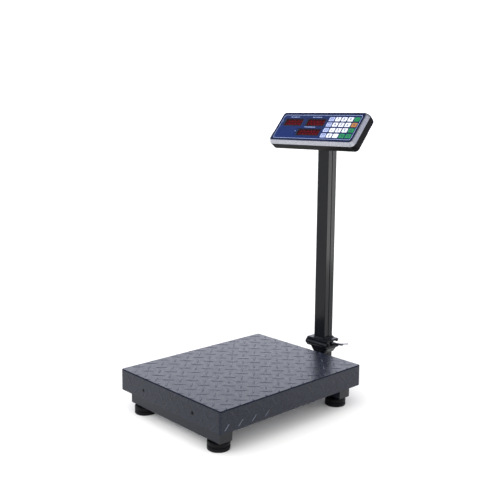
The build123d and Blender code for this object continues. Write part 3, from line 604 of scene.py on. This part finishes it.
flat = np.empty(len(flat_sheet.vertices) * 3)
flat_sheet.vertices.foreach_get("co", flat)
flat = flat.reshape(-1, len(bar_mesh.vertices), 3) / MM
flat[:, :, 1] -= deck_middle.y / MM
outline = np.abs(flat[:, :, :2])
in_corner = (outline > deck_half - CORNER_KEEP).all(axis=2).any(axis=1)
too_far = (outline.min(axis=1) > flat_reach).any(axis=1)
on_screw = np.zeros(len(flat), bool)
screw_depth = (deck_high.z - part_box("deck_screws")[1].z / 2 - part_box("deck_screws")[0].z / 2) / MM
screw_reach = deck_half[1] - BEND + BEND_RUN + screw_depth - BEND
screw_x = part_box("deck_screws")[1].x / MM - SCREW_CLEAR / 2
for x in (-screw_x, screw_x):
    gap = flat[:, :, :2] - np.array((x, -screw_reach))
    on_screw |= (np.hypot(gap[:, :, 0], gap[:, :, 1]) < SCREW_CLEAR).any(axis=1)
kept = flat[~in_corner & ~too_far & ~on_screw]
print("bars on the sheet:", len(kept), "of", len(flat))

one_bar = [tuple(face.vertices) for face in bar_mesh.polygons]
trimmed = bmesh.new()
for bar in kept:
    corners = [trimmed.verts.new(v) for v in bar]
    for face in one_bar:
        trimmed.faces.new([corners[i] for i in face])
for axis in (0, 1):
    for side in (-1, 1):
        normal = [side * (k == axis) for k in range(3)]
        edges = (flat_reach[axis], 0), (deck_half[axis] - CORNER_KEEP, deck_half[1 - axis])
        for edge, other_from in edges:
            chosen = [
                f for f in trimmed.faces if abs(f.calc_center_median()[1 - axis]) >= other_from]
            touched = {item for f in chosen for item in (*f.verts, *f.edges)} | set(chosen)
            cut = bmesh.ops.bisect_plane(
                trimmed, geom=list(touched), plane_co=[edge * n for n in normal], plane_no=normal,
                clear_outer=True)
            rim = [e for e in cut["geom_cut"] if isinstance(e, bmesh.types.BMEdge)]
            bmesh.ops.edgenet_fill(trimmed, edges=rim)


def fold(point):
    """Carry a point of the flat sheet round the bend and down the side it belongs to."""
    over = max(abs(point.x) - deck_half[0], abs(point.y) - deck_half[1]) / BEND + 1
    point.z *= 1 - (1 - SIDE_PRESS) * min(max(over, 0.0), 1.0)
    placed = [point.x, point.y, point.z]
    for k in (0, 1):
        past = abs(placed[k]) - (deck_half[k] - BEND)
        if past <= 0:
            continue
        angle = min(past / BEND, math.pi / 2)
        outwards = deck_half[k] - BEND + (BEND + point.z) * math.sin(angle)
        placed[k] = math.copysign(outwards, placed[k])
        placed[2] = -BEND + (BEND + point.z) * math.cos(angle) - max(0.0, past - BEND_RUN)
    return Vector(placed) * MM + Vector((deck_middle.x, deck_middle.y, deck_high.z))


for vertex in trimmed.verts:
    vertex.co = fold(vertex.co)
tread_mesh = mesh_of(trimmed)
new_piece("tread_bars", tread_mesh, worn_and_highlit_coat, "platform", smooth=50)
print("tread:", len(tread_mesh.polygons), "faces")

# %% [markdown]
# ### Painted highlights by the front corner
# On the right side near the front corner, the backs of the bars that slant one way catch the
# light from the front, and these glints are painted: each is a narrow pale strip that lies on
# a bar's back, a few hundredths of a millimetre proud, and folds down the side together with
# its bar. The strips get narrower away from the corner. Painting this into the shader would
# need a mask for every bar.

# %% Painted highlight strips on the bars by the front corner
GLINT_REACH = 175.0
GLINT_RISE = 0.05
GLINT_SUNK = 0.2
GLINT_LEAST = 0.45
# Pale grey paint that stands in for the glints on these bars: a painted highlight, not wear.
painted_glint_coat = grained(
    "scuffed_powder_coat", "#4a4f59", "#6d727c",
    rough=(0.35, 0.50), grain=1.2, relief=0.03, cloud=5.0, IOR=DECK_IOR)
strip_points = []
strip_faces = []
for bar in kept:
    run = bar[-1] - bar[-2]
    middle = bar.mean(axis=0)
    far = (middle[1] + deck_half[1]) / GLINT_REACH
    if middle[0] < deck_half[0] or far > 1 or run[0] * run[1] > 0:
        continue
    backs = bar[:-2].reshape(-1, STATION_POINTS, 3)[1:-1, 2:4]
    centres = backs.mean(axis=1, keepdims=True)
    backs = centres + (backs - centres) * (1 - (1 - GLINT_LEAST) * far)
    first = len(strip_points)
    for left, right in backs:
        strip_points += [fold(Vector(side) + Vector((0, 0, rise))) / MM for side, rise in (
            (left, GLINT_RISE), (right, GLINT_RISE), (right, -GLINT_SUNK), (left, -GLINT_SUNK))]
    for row in range(first, len(strip_points) - 4, 4):
        around = [row + (k + 1) % 4 for k in range(4)]
        strip_faces += [(row + k, around[k], around[k] + 4, row + k + 4) for k in range(4)]
    strip_faces += [range(first, first + 4), range(len(strip_points) - 4, len(strip_points))]
new_piece("bar_scuffs", solid_mesh(strip_points, strip_faces), painted_glint_coat, "platform")
# Faces of the painted highlight strips.
print("scuffs:", len(strip_faces), "faces")

# %% [markdown]
# ## The face and its own axes
# The head's face slopes, so everything on it is laid out flat, in axes of its own: u to the
# right, v up the slope, n out of the face, from the middle of the panel's front. One matrix
# carries the flat work onto the slope. It is read off the panel's largest triangle, so the
# print stays on the panel whatever its slope.

# %% Face axes
panel_mesh = nodes["face_panel"].data
widest = max((p for p in panel_mesh.polygons if p.normal.y < 0 < p.normal.z), key=lambda p: p.area)
face_out = widest.normal.normalized()
across = Vector((1, 0, 0))
face_turn = Matrix((across, face_out.cross(across), face_out)).transposed().to_4x4()


def flat_span(vertices, axes):
    """Lowest and highest corner of some vertices in flat axes, in millimetres."""
    back = axes.inverted()
    points = np.array([back @ v.co for v in vertices]) / MM
    return points.min(axis=0), points.max(axis=0)


panel_low, panel_high = flat_span(panel_mesh.vertices, face_turn)
panel_middle = Vector((panel_low + panel_high) / 2) * MM
panel_middle.z = panel_high[2] * MM
to_face = face_turn @ Matrix.Translation(panel_middle)
panel_half = (panel_high[:2] - panel_low[:2]) / 2
face_slope = math.degrees(math.atan2(-face_out.y, face_out.z))
print("face", [round(2 * v, 1) for v in panel_half], "mm, slope", round(face_slope, 2))


# %% Windows and keys in face axes
SAME_POINT = 0.01
ROW_STEP = 10.0


def loose_parts(node):
    """Spans of a node's separate solids in face axes, by rows from the top, each from the left."""
    copy = bmesh.new()
    copy.from_mesh(nodes[node].data)
    bmesh.ops.remove_doubles(copy, verts=copy.verts, dist=SAME_POINT * MM)
    left = set(copy.verts)
    spans = []
    while left:
        group = [left.pop()]
        for vertex in group:
            near = {e.other_vert(vertex) for e in vertex.link_edges} & left
            left -= near
            group += near
        spans.append(flat_span(group, to_face))
    copy.free()
    return sorted(spans, key=lambda span: (-round(span[0][1] / ROW_STEP), span[0][0]))


windows = loose_parts("display_windows")
key_names = [name for name in nodes if name.startswith("key_row")]
for low, high in windows:
    print("window", [round(float(v), 1) for v in (*low[:2], *high[:2])])
print(len(key_names), "keys")


# %% [markdown]
# ## Flat work
# Print, border lines and display segments are very thin plates. Each is a closed prism
# on an outline, a few hundredths of a millimetre thick, and not a picture, so it keeps its
# edge at any distance and goes out with the meshes.

# %% Outlines and thin plates
CORNER_STEPS = 5


def rounded(middle, size, corner):
    """Outline of a rectangle with rounded corners, counter-clockwise."""
    outline = []
    for quarter, (sx, sy) in enumerate(((1, 1), (-1, 1), (-1, -1), (1, -1))):
        for step in range(CORNER_STEPS + 1):
            angle = math.pi / 2 * (quarter + step / CORNER_STEPS)
            outline.append((middle[0] + sx * (size[0] / 2 - corner) + corner * math.cos(angle),
                            middle[1] + sy * (size[1] / 2 - corner) + corner * math.sin(angle)))
    return outline


def plates(outlines, low, high, holes=None):
    """Closed prisms in face axes, from n = low to n = high. holes are their inner outlines."""
    vertices = []
    faces = []
    for number, outline in enumerate(outlines):
        first = len(vertices)
        count = len(outline)
        loops = [(outline, low), (outline, high)]
        if holes:
            loops += [(holes[number], high), (holes[number], low)]
        for loop, n in loops:
            vertices += [(u, v, n) for u, v in loop]
        pairs = [(k, (k + 1) % len(loops)) for k in range(len(loops) if holes else 1)]
        for lower, upper in pairs:
            for i in range(count):
                j = (i + 1) % count
                faces.append((first + lower * count + i, first + lower * count + j,
                              first + upper * count + j, first + upper * count + i))
        if not holes:
            faces += [range(first, first + count), range(first + count, first + 2 * count)]
    mesh = solid_mesh(vertices, faces)
    mesh.transform(to_face)
    return mesh


print("a rounded outline has", len(rounded((0, 0), (10, 6), 1)), "points")

# %% [markdown]
# ### The printed overlay
# The panel is covered by a polycarbonate film, printed in blue on its underside. The ink is
# royal blue at the lower left, greyer towards the top and the keys, and navy outside a pale
# border line. The material reads Object coordinates through a Mapping node that turns them
# into face axes. The distance to a rounded rectangle then parts the navy from the blue.

# %% Overlay material
FRAME_INSET = 7.0
FRAME_CORNER = 6.0
BORDER_BLUR = 0.2
GREY_WAY = (0.55, 1.6, 0)
GREY_RANGE = (-0.11, 0.04)
OVERLAY_GRAIN = 0.8
overlay, tree, surface = shader("printed_polycarbonate", "#12285c", Roughness=0.30, IOR=1.40)
place = add(tree, "ShaderNodeTexCoord").outputs["Object"]
to_flat = to_face.inverted()
flat_place = add(tree, "ShaderNodeMapping", {
    "Vector": place, "Location": to_flat.to_translation(), "Rotation": to_flat.to_euler()})
inside = add(tree, "ShaderNodeVectorMath", {
    0: flat_place.outputs[0], 1: (1, 1, 0)}, operation="MULTIPLY").outputs[0]
folded = add(tree, "ShaderNodeVectorMath", {0: inside}, operation="ABSOLUTE")
straight = (panel_half - FRAME_INSET - FRAME_CORNER) * MM
past = add(tree, "ShaderNodeVectorMath", {
    0: folded.outputs[0], 1: (*straight, 0)}, operation="SUBTRACT")
beyond = add(tree, "ShaderNodeVectorMath", {
    0: past.outputs[0], 1: (0, 0, 0)}, operation="MAXIMUM")
distance = add(tree, "ShaderNodeVectorMath", {0: beyond.outputs[0]}, operation="LENGTH")
outside = add(tree, "ShaderNodeMapRange", {
    "Value": distance.outputs["Value"],
    "From Min": (FRAME_CORNER - BORDER_BLUR) * MM, "From Max": (FRAME_CORNER + BORDER_BLUR) * MM})
along = add(tree, "ShaderNodeVectorMath", {0: inside, 1: GREY_WAY}, operation="DOT_PRODUCT")
greyed = add(tree, "ShaderNodeMapRange", {
    "Value": along.outputs["Value"], "From Min": GREY_RANGE[0], "From Max": GREY_RANGE[1]},
    interpolation_type="SMOOTHSTEP")
blue = add(tree, "ShaderNodeMix", {
    0: greyed.outputs[0], 6: linear("#081f52"), 7: linear("#152248")}, data_type="RGBA")
ink = add(tree, "ShaderNodeMix", {
    0: outside.outputs[0], 6: blue.outputs[2], 7: linear("#081230")}, data_type="RGBA")
grain = add(tree, "ShaderNodeTexNoise", {
    "Vector": place, "Scale": 1 / (OVERLAY_GRAIN * MM), "Detail": 2.0}).outputs["Fac"]
cover(tree, surface, ink.outputs[2], share=grain, rough=(0.24, 0.36), height=grain, relief=0.008)
paint(nodes["face_panel"].data, overlay)
print("overlay:", overlay.name)

# %% Inks
INKS = {
    "pale_blue": ("#8fa0c8", "#a3b1d3", (0.35, 0.5)),
    "navy": ("#16224a", "#1e2b58", (0.35, 0.5)),
    "black": ("#0b0a10", "#131118", (0.3, 0.45)),
}
pale_ink, navy_ink, black_ink = (
    grained(name + "_screen_ink", dark, light, rough, grain=0.6, relief=0.004, cloud=12.0, IOR=1.5)
    for name, (dark, light, rough) in INKS.items())
print("inks:", pale_ink.name, navy_ink.name, black_ink.name)

# %% Border line, captions and window frames
INK = 0.04
LINE = 1.0
frame_size = 2 * (panel_half - FRAME_INSET)
border = plates(
    [rounded((0, 0), frame_size, FRAME_CORNER)], 0, INK,
    holes=[rounded((0, 0), frame_size - 2 * LINE, FRAME_CORNER - LINE)])
new_piece("face_border_line", border, pale_ink, "head")

CAPTION_HEIGHT = 1.7
CAPTION_GAP = 5.6
CAPTION_START = 0.28
CAPTION_RUN = 0.42
CAPTION_SHARES = (0.30, 0.46, 0.20)
CAPTION_SPACE = 1.6
DASH_FLAT = 0.05
SIDE_MARK_DROP = 9.0
SIDE_MARK_LEFT = 0.5


def dash(u, v, length):
    """Outline of a caption's dash with its middle at u, v and almost round ends."""
    return rounded((u, v), (length, CAPTION_HEIGHT), CAPTION_HEIGHT / 2 - DASH_FLAT)


dashes = []
for low, high in windows:
    wide = high[0] - low[0]
    start = low[0] + CAPTION_START * wide
    for share in CAPTION_SHARES:
        length = share * CAPTION_RUN * wide
        dashes.append(dash(start + length / 2, high[1] + CAPTION_GAP, length))
        start += length + CAPTION_SPACE
for low, high in (windows[0], windows[2]):
    dashes.append(dash(low[0] - SIDE_MARK_LEFT, high[1] - SIDE_MARK_DROP, 2 * CAPTION_HEIGHT))
new_piece("face_captions", plates(dashes, 0, INK), pale_ink, "head")

MASK = 2.6
BLUE_LEFT = 6.0
BLACK_LEFT = 5.0
GLASS_EDGE = 0.2
MASK_CORNER = 0.8
PANE_CORNER = 0.6
MARGIN_CORNER = 0.3
pane_top = windows[0][1][2]
glass = [(low[:2] + GLASS_EDGE, high[:2] - GLASS_EDGE) for low, high in windows]
black_parts = [(low + (BLUE_LEFT, 0), high) for low, high in glass]
clear_parts = [(low + (BLACK_LEFT, MASK), high - MASK) for low, high in black_parts]
blue_parts = [(low, np.array((low[0] + BLUE_LEFT, high[1]))) for low, high in glass]


def print_outlines(parts, corner):
    """Rounded outlines of a list of (low corner, high corner)."""
    return [rounded((low + high) / 2, high - low, corner) for low, high in parts]


mask_mesh = plates(
    print_outlines(black_parts, MASK_CORNER), pane_top, pane_top + INK,
    holes=print_outlines(clear_parts, PANE_CORNER))
new_piece("window_masks", mask_mesh, black_ink, "head")
margin_mesh = plates(print_outlines(blue_parts, MARGIN_CORNER), pane_top, pane_top + INK)
new_piece("window_margins", margin_mesh, overlay, "head")
print("captions:", len(dashes), "dashes; masks:", len(black_parts))

# %% [markdown]
# ### Display digits
# Behind each red window stands a row of seven-segment digits. A real module is a black block
# with light pipes let into it, and here each pipe is a thin plate on that block. All digits
# show zero: six segments are lit and the middle one is dark, with a faint painted glow, so
# there are two sets of plates. A Geometry Nodes tree repeats one digit along a row, because
# the rows differ only in their count, pitch and start.

# %% Digit shapes and the row tree
DIGIT_HEIGHT = 0.76
DIGIT_ASPECT = 0.56
SEGMENT = 0.13
SEGMENT_GAP = 0.62
DIGIT_LEAN = math.radians(8)
DIGIT_COUNTS = (5, 5, 6)


def pointed(low, high, half):
    """Outline of a bar along u from low to high, half wide on each side, with pointed ends."""
    return [(low, 0), (low + half, half), (high - half, half),
            (high, 0), (high - half, -half), (low + half, -half)]


def digit_outlines(height, lit):
    """Segments of one leaning digit about its middle: the six outer bars, or the inner one."""
    bar = height * SEGMENT
    reach_u = (height * DIGIT_ASPECT - bar) / 2
    reach_v = (height - bar) / 2
    gap = bar * SEGMENT_GAP
    across = pointed(-reach_u + gap, reach_u - gap, bar / 2)
    tall = [(u, v) for v, u in pointed(gap, reach_v - gap, bar / 2)]
    if lit:
        shapes = [[(u, v + side * reach_v) for u, v in across] for side in (-1, 1)]
        shapes += [[(u + side * reach_u, v * end) for u, v in tall]
                   for side in (-1, 1) for end in (-1, 1)]
    else:
        shapes = [across]
    return [[(u + v * math.tan(DIGIT_LEAN), v) for u, v in shape] for shape in shapes]


row_tree, given = start_tree(
    "digit_row", Digit="Object", Count="Int", Pitch="Float", Start="Vector", Finish="Material")
step = add(row_tree, "ShaderNodeCombineXYZ", {"X": given["Pitch"]})
stops = add(row_tree, "GeometryNodeMeshLine", {
    "Count": given["Count"], "Start Location": given["Start"], "Offset": step.outputs[0]},
    mode="OFFSET")
digit = add(row_tree, "GeometryNodeObjectInfo", {"Object": given["Digit"]}).outputs["Geometry"]
row = add(row_tree, "GeometryNodeInstanceOnPoints", {"Points": stops.outputs[0], "Instance": digit})
end_tree(row_tree, row.outputs[0], given["Finish"])
print("digit tree:", len(row_tree.nodes), "nodes")

# %% Light pipes, lit and dark
RED_GLOW = "#ff1a2a"
GLOW_SPREAD = 0.3
GLOW_SPOTS = 3.0
PIPE_THICK = 0.12
ROW_MARGIN = 3.0


def glowing(name, colour, strength):
    """Moulded acrylic that glows red from inside, uneven along its length as a light pipe is."""
    material = grained(name, colour, colour, rough=(0.3, 0.4), grain=1.0, relief=0.004, IOR=1.49)
    tree = material.node_tree
    sockets = tree.nodes["Principled BSDF"].inputs
    sockets["Emission Color"].default_value = linear(RED_GLOW)
    place = add(tree, "ShaderNodeTexCoord").outputs["Object"]
    spots = add(tree, "ShaderNodeTexNoise", {
        "Vector": place, "Scale": 1 / (GLOW_SPOTS * MM), "Detail": 1.0})
    power = add(tree, "ShaderNodeMapRange", {
        "Value": spots.outputs["Fac"],
        "To Min": strength * (1 - GLOW_SPREAD), "To Max": strength * (1 + GLOW_SPREAD)})
    tree.links.new(power.outputs[0], sockets["Emission Strength"])
    return material


lit_pipe = glowing("lit_red_light_pipe", "#7a0c14", 1.6)
# The unlit segments are given a faint painted red glow, though no light reaches them from inside.
faint_glow_pipe = glowing("unlit_red_light_pipe", "#3c0a10", 0.06)
module_top = max(high[2] for low, high in loose_parts("display_modules"))
for lit, finish, name in ((True, lit_pipe, "digits_lit"), (False, faint_glow_pipe, "digits_dark")):
    rows = bmesh.new()
    for (low, high), count in zip(clear_parts, DIGIT_COUNTS):
        height = (high[1] - low[1]) * DIGIT_HEIGHT
        pitch = (high[0] - low[0] - ROW_MARGIN) / count
        one_digit = plates(digit_outlines(height, lit), 0, PIPE_THICK)
        one_digit.transform(to_face.inverted())
        middle = (low + high) / 2
        start = (middle[0] - pitch * (count - 1) / 2, middle[1], module_top)
        rows.from_mesh(grow(
            row_tree, copied=("Digit", one_digit), Count=count, Pitch=pitch * MM,
            Start=[v * MM for v in start], Finish=finish))
    digits = mesh_of(rows)
    digits.transform(to_face)
    new_piece(name, digits, finish, "head")
    print(name, len(digits.polygons), "faces")

# %% [markdown]
# ### Key legends
# The legends are printed on the caps and move with them, so each is a piece of its own that
# rides on its key. Blender's text objects give the digits. A text is turned into a mesh at
# the origin, then laid on the cap, because a text object can't be carried by the frame. The
# keys of the first column carry four small dashes instead.

# %% Legends on the keys
LEGENDS = ("789\u2212", "456\u00d7", "123+", "0\u00b7==")
LEGEND_SIZE = 11.5
STROKE_GAIN = 0.32
SMALL_MARK_HEIGHT = 2.0
SMALL_MARK_CORNER = 0.6
SMALL_MARKS = ((-3.2, 2.6, 4.4), (3.0, 2.6, 5.6), (-2.4, -2.6, 6.0), (4.0, -2.6, 3.4))


def text_mesh(body, size):
    """A flat printed text as a closed mesh, centred on the origin. size is in millimetres."""
    curve = bpy.data.curves.new("legend", "FONT")
    curve.body = body
    curve.size = size * MM
    curve.extrude = INK / 2 * MM
    curve.offset = STROKE_GAIN * MM
    curve.resolution_u = 3
    mesh = plain_mesh(linked("legend", curve))
    low, high = flat_span(mesh.vertices, Matrix())
    mesh.transform(Matrix.Translation(Vector(low + high) / 2 * -MM))
    return mesh


for name in key_names:
    low, high = flat_span(nodes[name].data.vertices, to_face)
    middle = (low + high) / 2
    row, column = (int(part[-1]) for part in name.split("_")[1:])
    if column == 1:
        marks = [
            rounded((middle[0] + u, middle[1] + v), (wide, SMALL_MARK_HEIGHT), SMALL_MARK_CORNER)
            for u, v, wide in SMALL_MARKS]
        legend = plates(marks, high[2], high[2] + INK)
    else:
        legend = text_mesh(LEGENDS[row - 1][column - 2], LEGEND_SIZE)
        on_cap = Vector((middle[0], middle[1], high[2] + INK / 2)) * MM
        legend.transform(to_face @ Matrix.Translation(on_cap))
    new_piece("legend_" + name, legend, navy_ink, name)
print("legends:", len(key_names))

# %% [markdown]
# ### Marks on the power rocker
# A rocker carries a bar on the half that switches on and a ring on the other. The two
# halves slope differently, so each mark is laid on the plane of its own half: the helper
# finds the flat areas of a part that face a given way, and a matrix built from the area's
# normal carries the mark there.


# %% Flat areas and the two marks
MARK_SIZE = 6.5
FACING_LEAST = 0.85
ROCKER_HALF = 60.0


def flat_areas(node, way, least):
    """Middle and normal of each flat area over least mm2 that faces way, from left to right."""
    groups = {}
    for face in nodes[node].data.polygons:
        if face.normal.dot(way) > FACING_LEAST:
            key = tuple(round(c, 2) for c in face.normal)
            groups.setdefault(key, []).append(face)
    areas = []
    for faces in groups.values():
        size = sum(f.area for f in faces)
        if size > least * MM * MM:
            middle = sum((f.center * f.area for f in faces), Vector()) / size
            areas.append((middle, sum((f.normal for f in faces), Vector()).normalized()))
    return sorted(areas, key=lambda area: area[0].x)


up_face = (to_face.to_3x3() @ Vector((0, 1, 0))).normalized()
halves = flat_areas("power_rocker", -face_out, ROCKER_HALF)
for (middle, normal), name, body in zip(halves, ("rocker_mark_on", "rocker_mark_off"), "IO"):
    turn = Matrix((up_face.cross(normal), up_face, normal)).transposed().to_4x4()
    mark = text_mesh(body, MARK_SIZE)
    mark.transform(Matrix.Translation(middle + normal * (INK / 2 * MM)) @ turn)
    new_piece(name, mark, pale_ink, node_body["power_rocker"])
    print(name, "at", [round(v / MM, 1) for v in middle])

# %% [markdown]
# ## Weld beads
# The channel beam is welded between the two cross tubes. A bead is a row of overlapping
# ripples, one for each pause of the torch. The seams are drawn as plain edges, and a Geometry
# Nodes tree walks along them and drops a small ball, half sunk in the joint, at every step.
# A fixed seed varies each ball's size a little. Modelling one bead by hand would be quicker
# for a single seam, but here six seams share one recipe.

# %% Ripples along the seams
RIPPLE_PITCH = 1.8
BEAD_WIDTH = 4.6
RIPPLE_SIZES = (0.85, 1.1)
RIPPLE_SEED = 7
weld_tree, given = start_tree(
    "weld_beads", Pitch="Float", Width="Float", Seed="Int", Finish="Material")
seams = add(weld_tree, "GeometryNodeMeshToCurve", {"Mesh": given["Geometry"]})
stops = add(weld_tree, "GeometryNodeResampleCurve", {
    "Curve": seams.outputs[0], "Length": given["Pitch"]}, mode="LENGTH")
ripple = add(weld_tree, "GeometryNodeMeshUVSphere", {"Segments": 8, "Rings": 5, "Radius": 0.5})
varied = add(weld_tree, "FunctionNodeRandomValue", {
    2: RIPPLE_SIZES[0], 3: RIPPLE_SIZES[1], "Seed": given["Seed"]}, data_type="FLOAT")
wide = add(weld_tree, "ShaderNodeMath", {
    0: varied.outputs[1], 1: given["Width"]}, operation="MULTIPLY")
ripples = add(weld_tree, "GeometryNodeInstanceOnPoints", {
    "Points": stops.outputs[0], "Instance": ripple.outputs["Mesh"], "Scale": wide.outputs[0]})
end_tree(weld_tree, ripples.outputs[0], given["Finish"])

beam_low, beam_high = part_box("centre_beam")
ends = []
edges = []
for y in (beam_low.y, beam_high.y):
    first = len(ends)
    ends += [(x, y, z) for x, z in ((beam_low.x, beam_low.z), (beam_low.x, beam_high.z),
                                    (beam_high.x, beam_high.z), (beam_high.x, beam_low.z))]
    edges += [(first + i, first + i + 1) for i in range(3)]
seam_mesh = bpy.data.meshes.new("seams")
seam_mesh.from_pydata(ends, edges, [])
bead_mesh = grow(
    weld_tree, seam_mesh, Pitch=RIPPLE_PITCH * MM, Width=BEAD_WIDTH * MM, Seed=RIPPLE_SEED,
    Finish=finishes["frame_paint"])
new_piece("beam_welds", bead_mesh, finishes["frame_paint"], node_body["centre_beam"],
          smooth=60)
print("welds:", len(bead_mesh.polygons), "faces")

# %% [markdown]
# ## Grip ridges on the tilt knob
# The knob is turned by hand, so its rim has ridges along it. They stand on a ring of
# points: the tree makes the ring, points each ridge outwards, and copies one small bar to
# every point. The ring is then turned to stand across the bolt.

# %% Ridges on a ring
RIDGE_COUNT = 28
RIDGE_LENGTH = 8.0
RIDGE_WIDTH = 1.3
RIDGE_HEIGHT = 0.9
RIDGE_CREST = 0.45
RIDGE_SUNK = 1.0
RIDGE_END = 3.2
ring_tree, given = start_tree(
    "ridge_ring", Ridge="Object", Count="Int", Radius="Float", Finish="Material")
ring = add(ring_tree, "GeometryNodeMeshCircle", {
    "Vertices": given["Count"], "Radius": given["Radius"]})
outwards = add(ring_tree, "FunctionNodeAlignRotationToVector", {
    "Vector": add(ring_tree, "GeometryNodeInputPosition").outputs[0]}, axis="X", pivot_axis="Z")
ridge = add(ring_tree, "GeometryNodeObjectInfo", {"Object": given["Ridge"]}).outputs["Geometry"]
ridges = add(ring_tree, "GeometryNodeInstanceOnPoints", {
    "Points": ring.outputs[0], "Instance": ridge, "Rotation": outwards.outputs[0]})
end_tree(ring_tree, ridges.outputs[0], given["Finish"])

half_width = RIDGE_WIDTH / 2
crest = half_width * RIDGE_CREST
profile = [(-RIDGE_SUNK, -half_width), (-RIDGE_SUNK, half_width),
           (RIDGE_HEIGHT, crest), (RIDGE_HEIGHT, -crest)]
ridge_mesh = solid_mesh(
    [(x, y, z) for z in (-RIDGE_LENGTH / 2, RIDGE_LENGTH / 2) for x, y in profile],
    [(0, 1, 2, 3), (4, 5, 6, 7), (0, 1, 5, 4), (1, 2, 6, 5), (2, 3, 7, 6), (3, 0, 4, 7)])
bolt_low, bolt_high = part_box("tilt_bolt")
knob_radius = (bolt_high.y - bolt_low.y) / 2
ring_mesh = grow(
    ring_tree, copied=("Ridge", ridge_mesh), Count=RIDGE_COUNT, Radius=knob_radius,
    Finish=finishes["screw_steel"])
ring_middle = (bolt_low + bolt_high) / 2
ring_middle.x = bolt_high.x - (RIDGE_END + RIDGE_LENGTH / 2) * MM
ring_mesh.transform(Matrix.Translation(ring_middle) @ Matrix.Rotation(math.pi / 2, 4, "Y"))
new_piece("knob_ridges", ring_mesh, finishes["screw_steel"], node_body["tilt_bolt"])
print("ridges:", RIDGE_COUNT, "on a radius of", round(knob_radius / MM, 1), "mm")
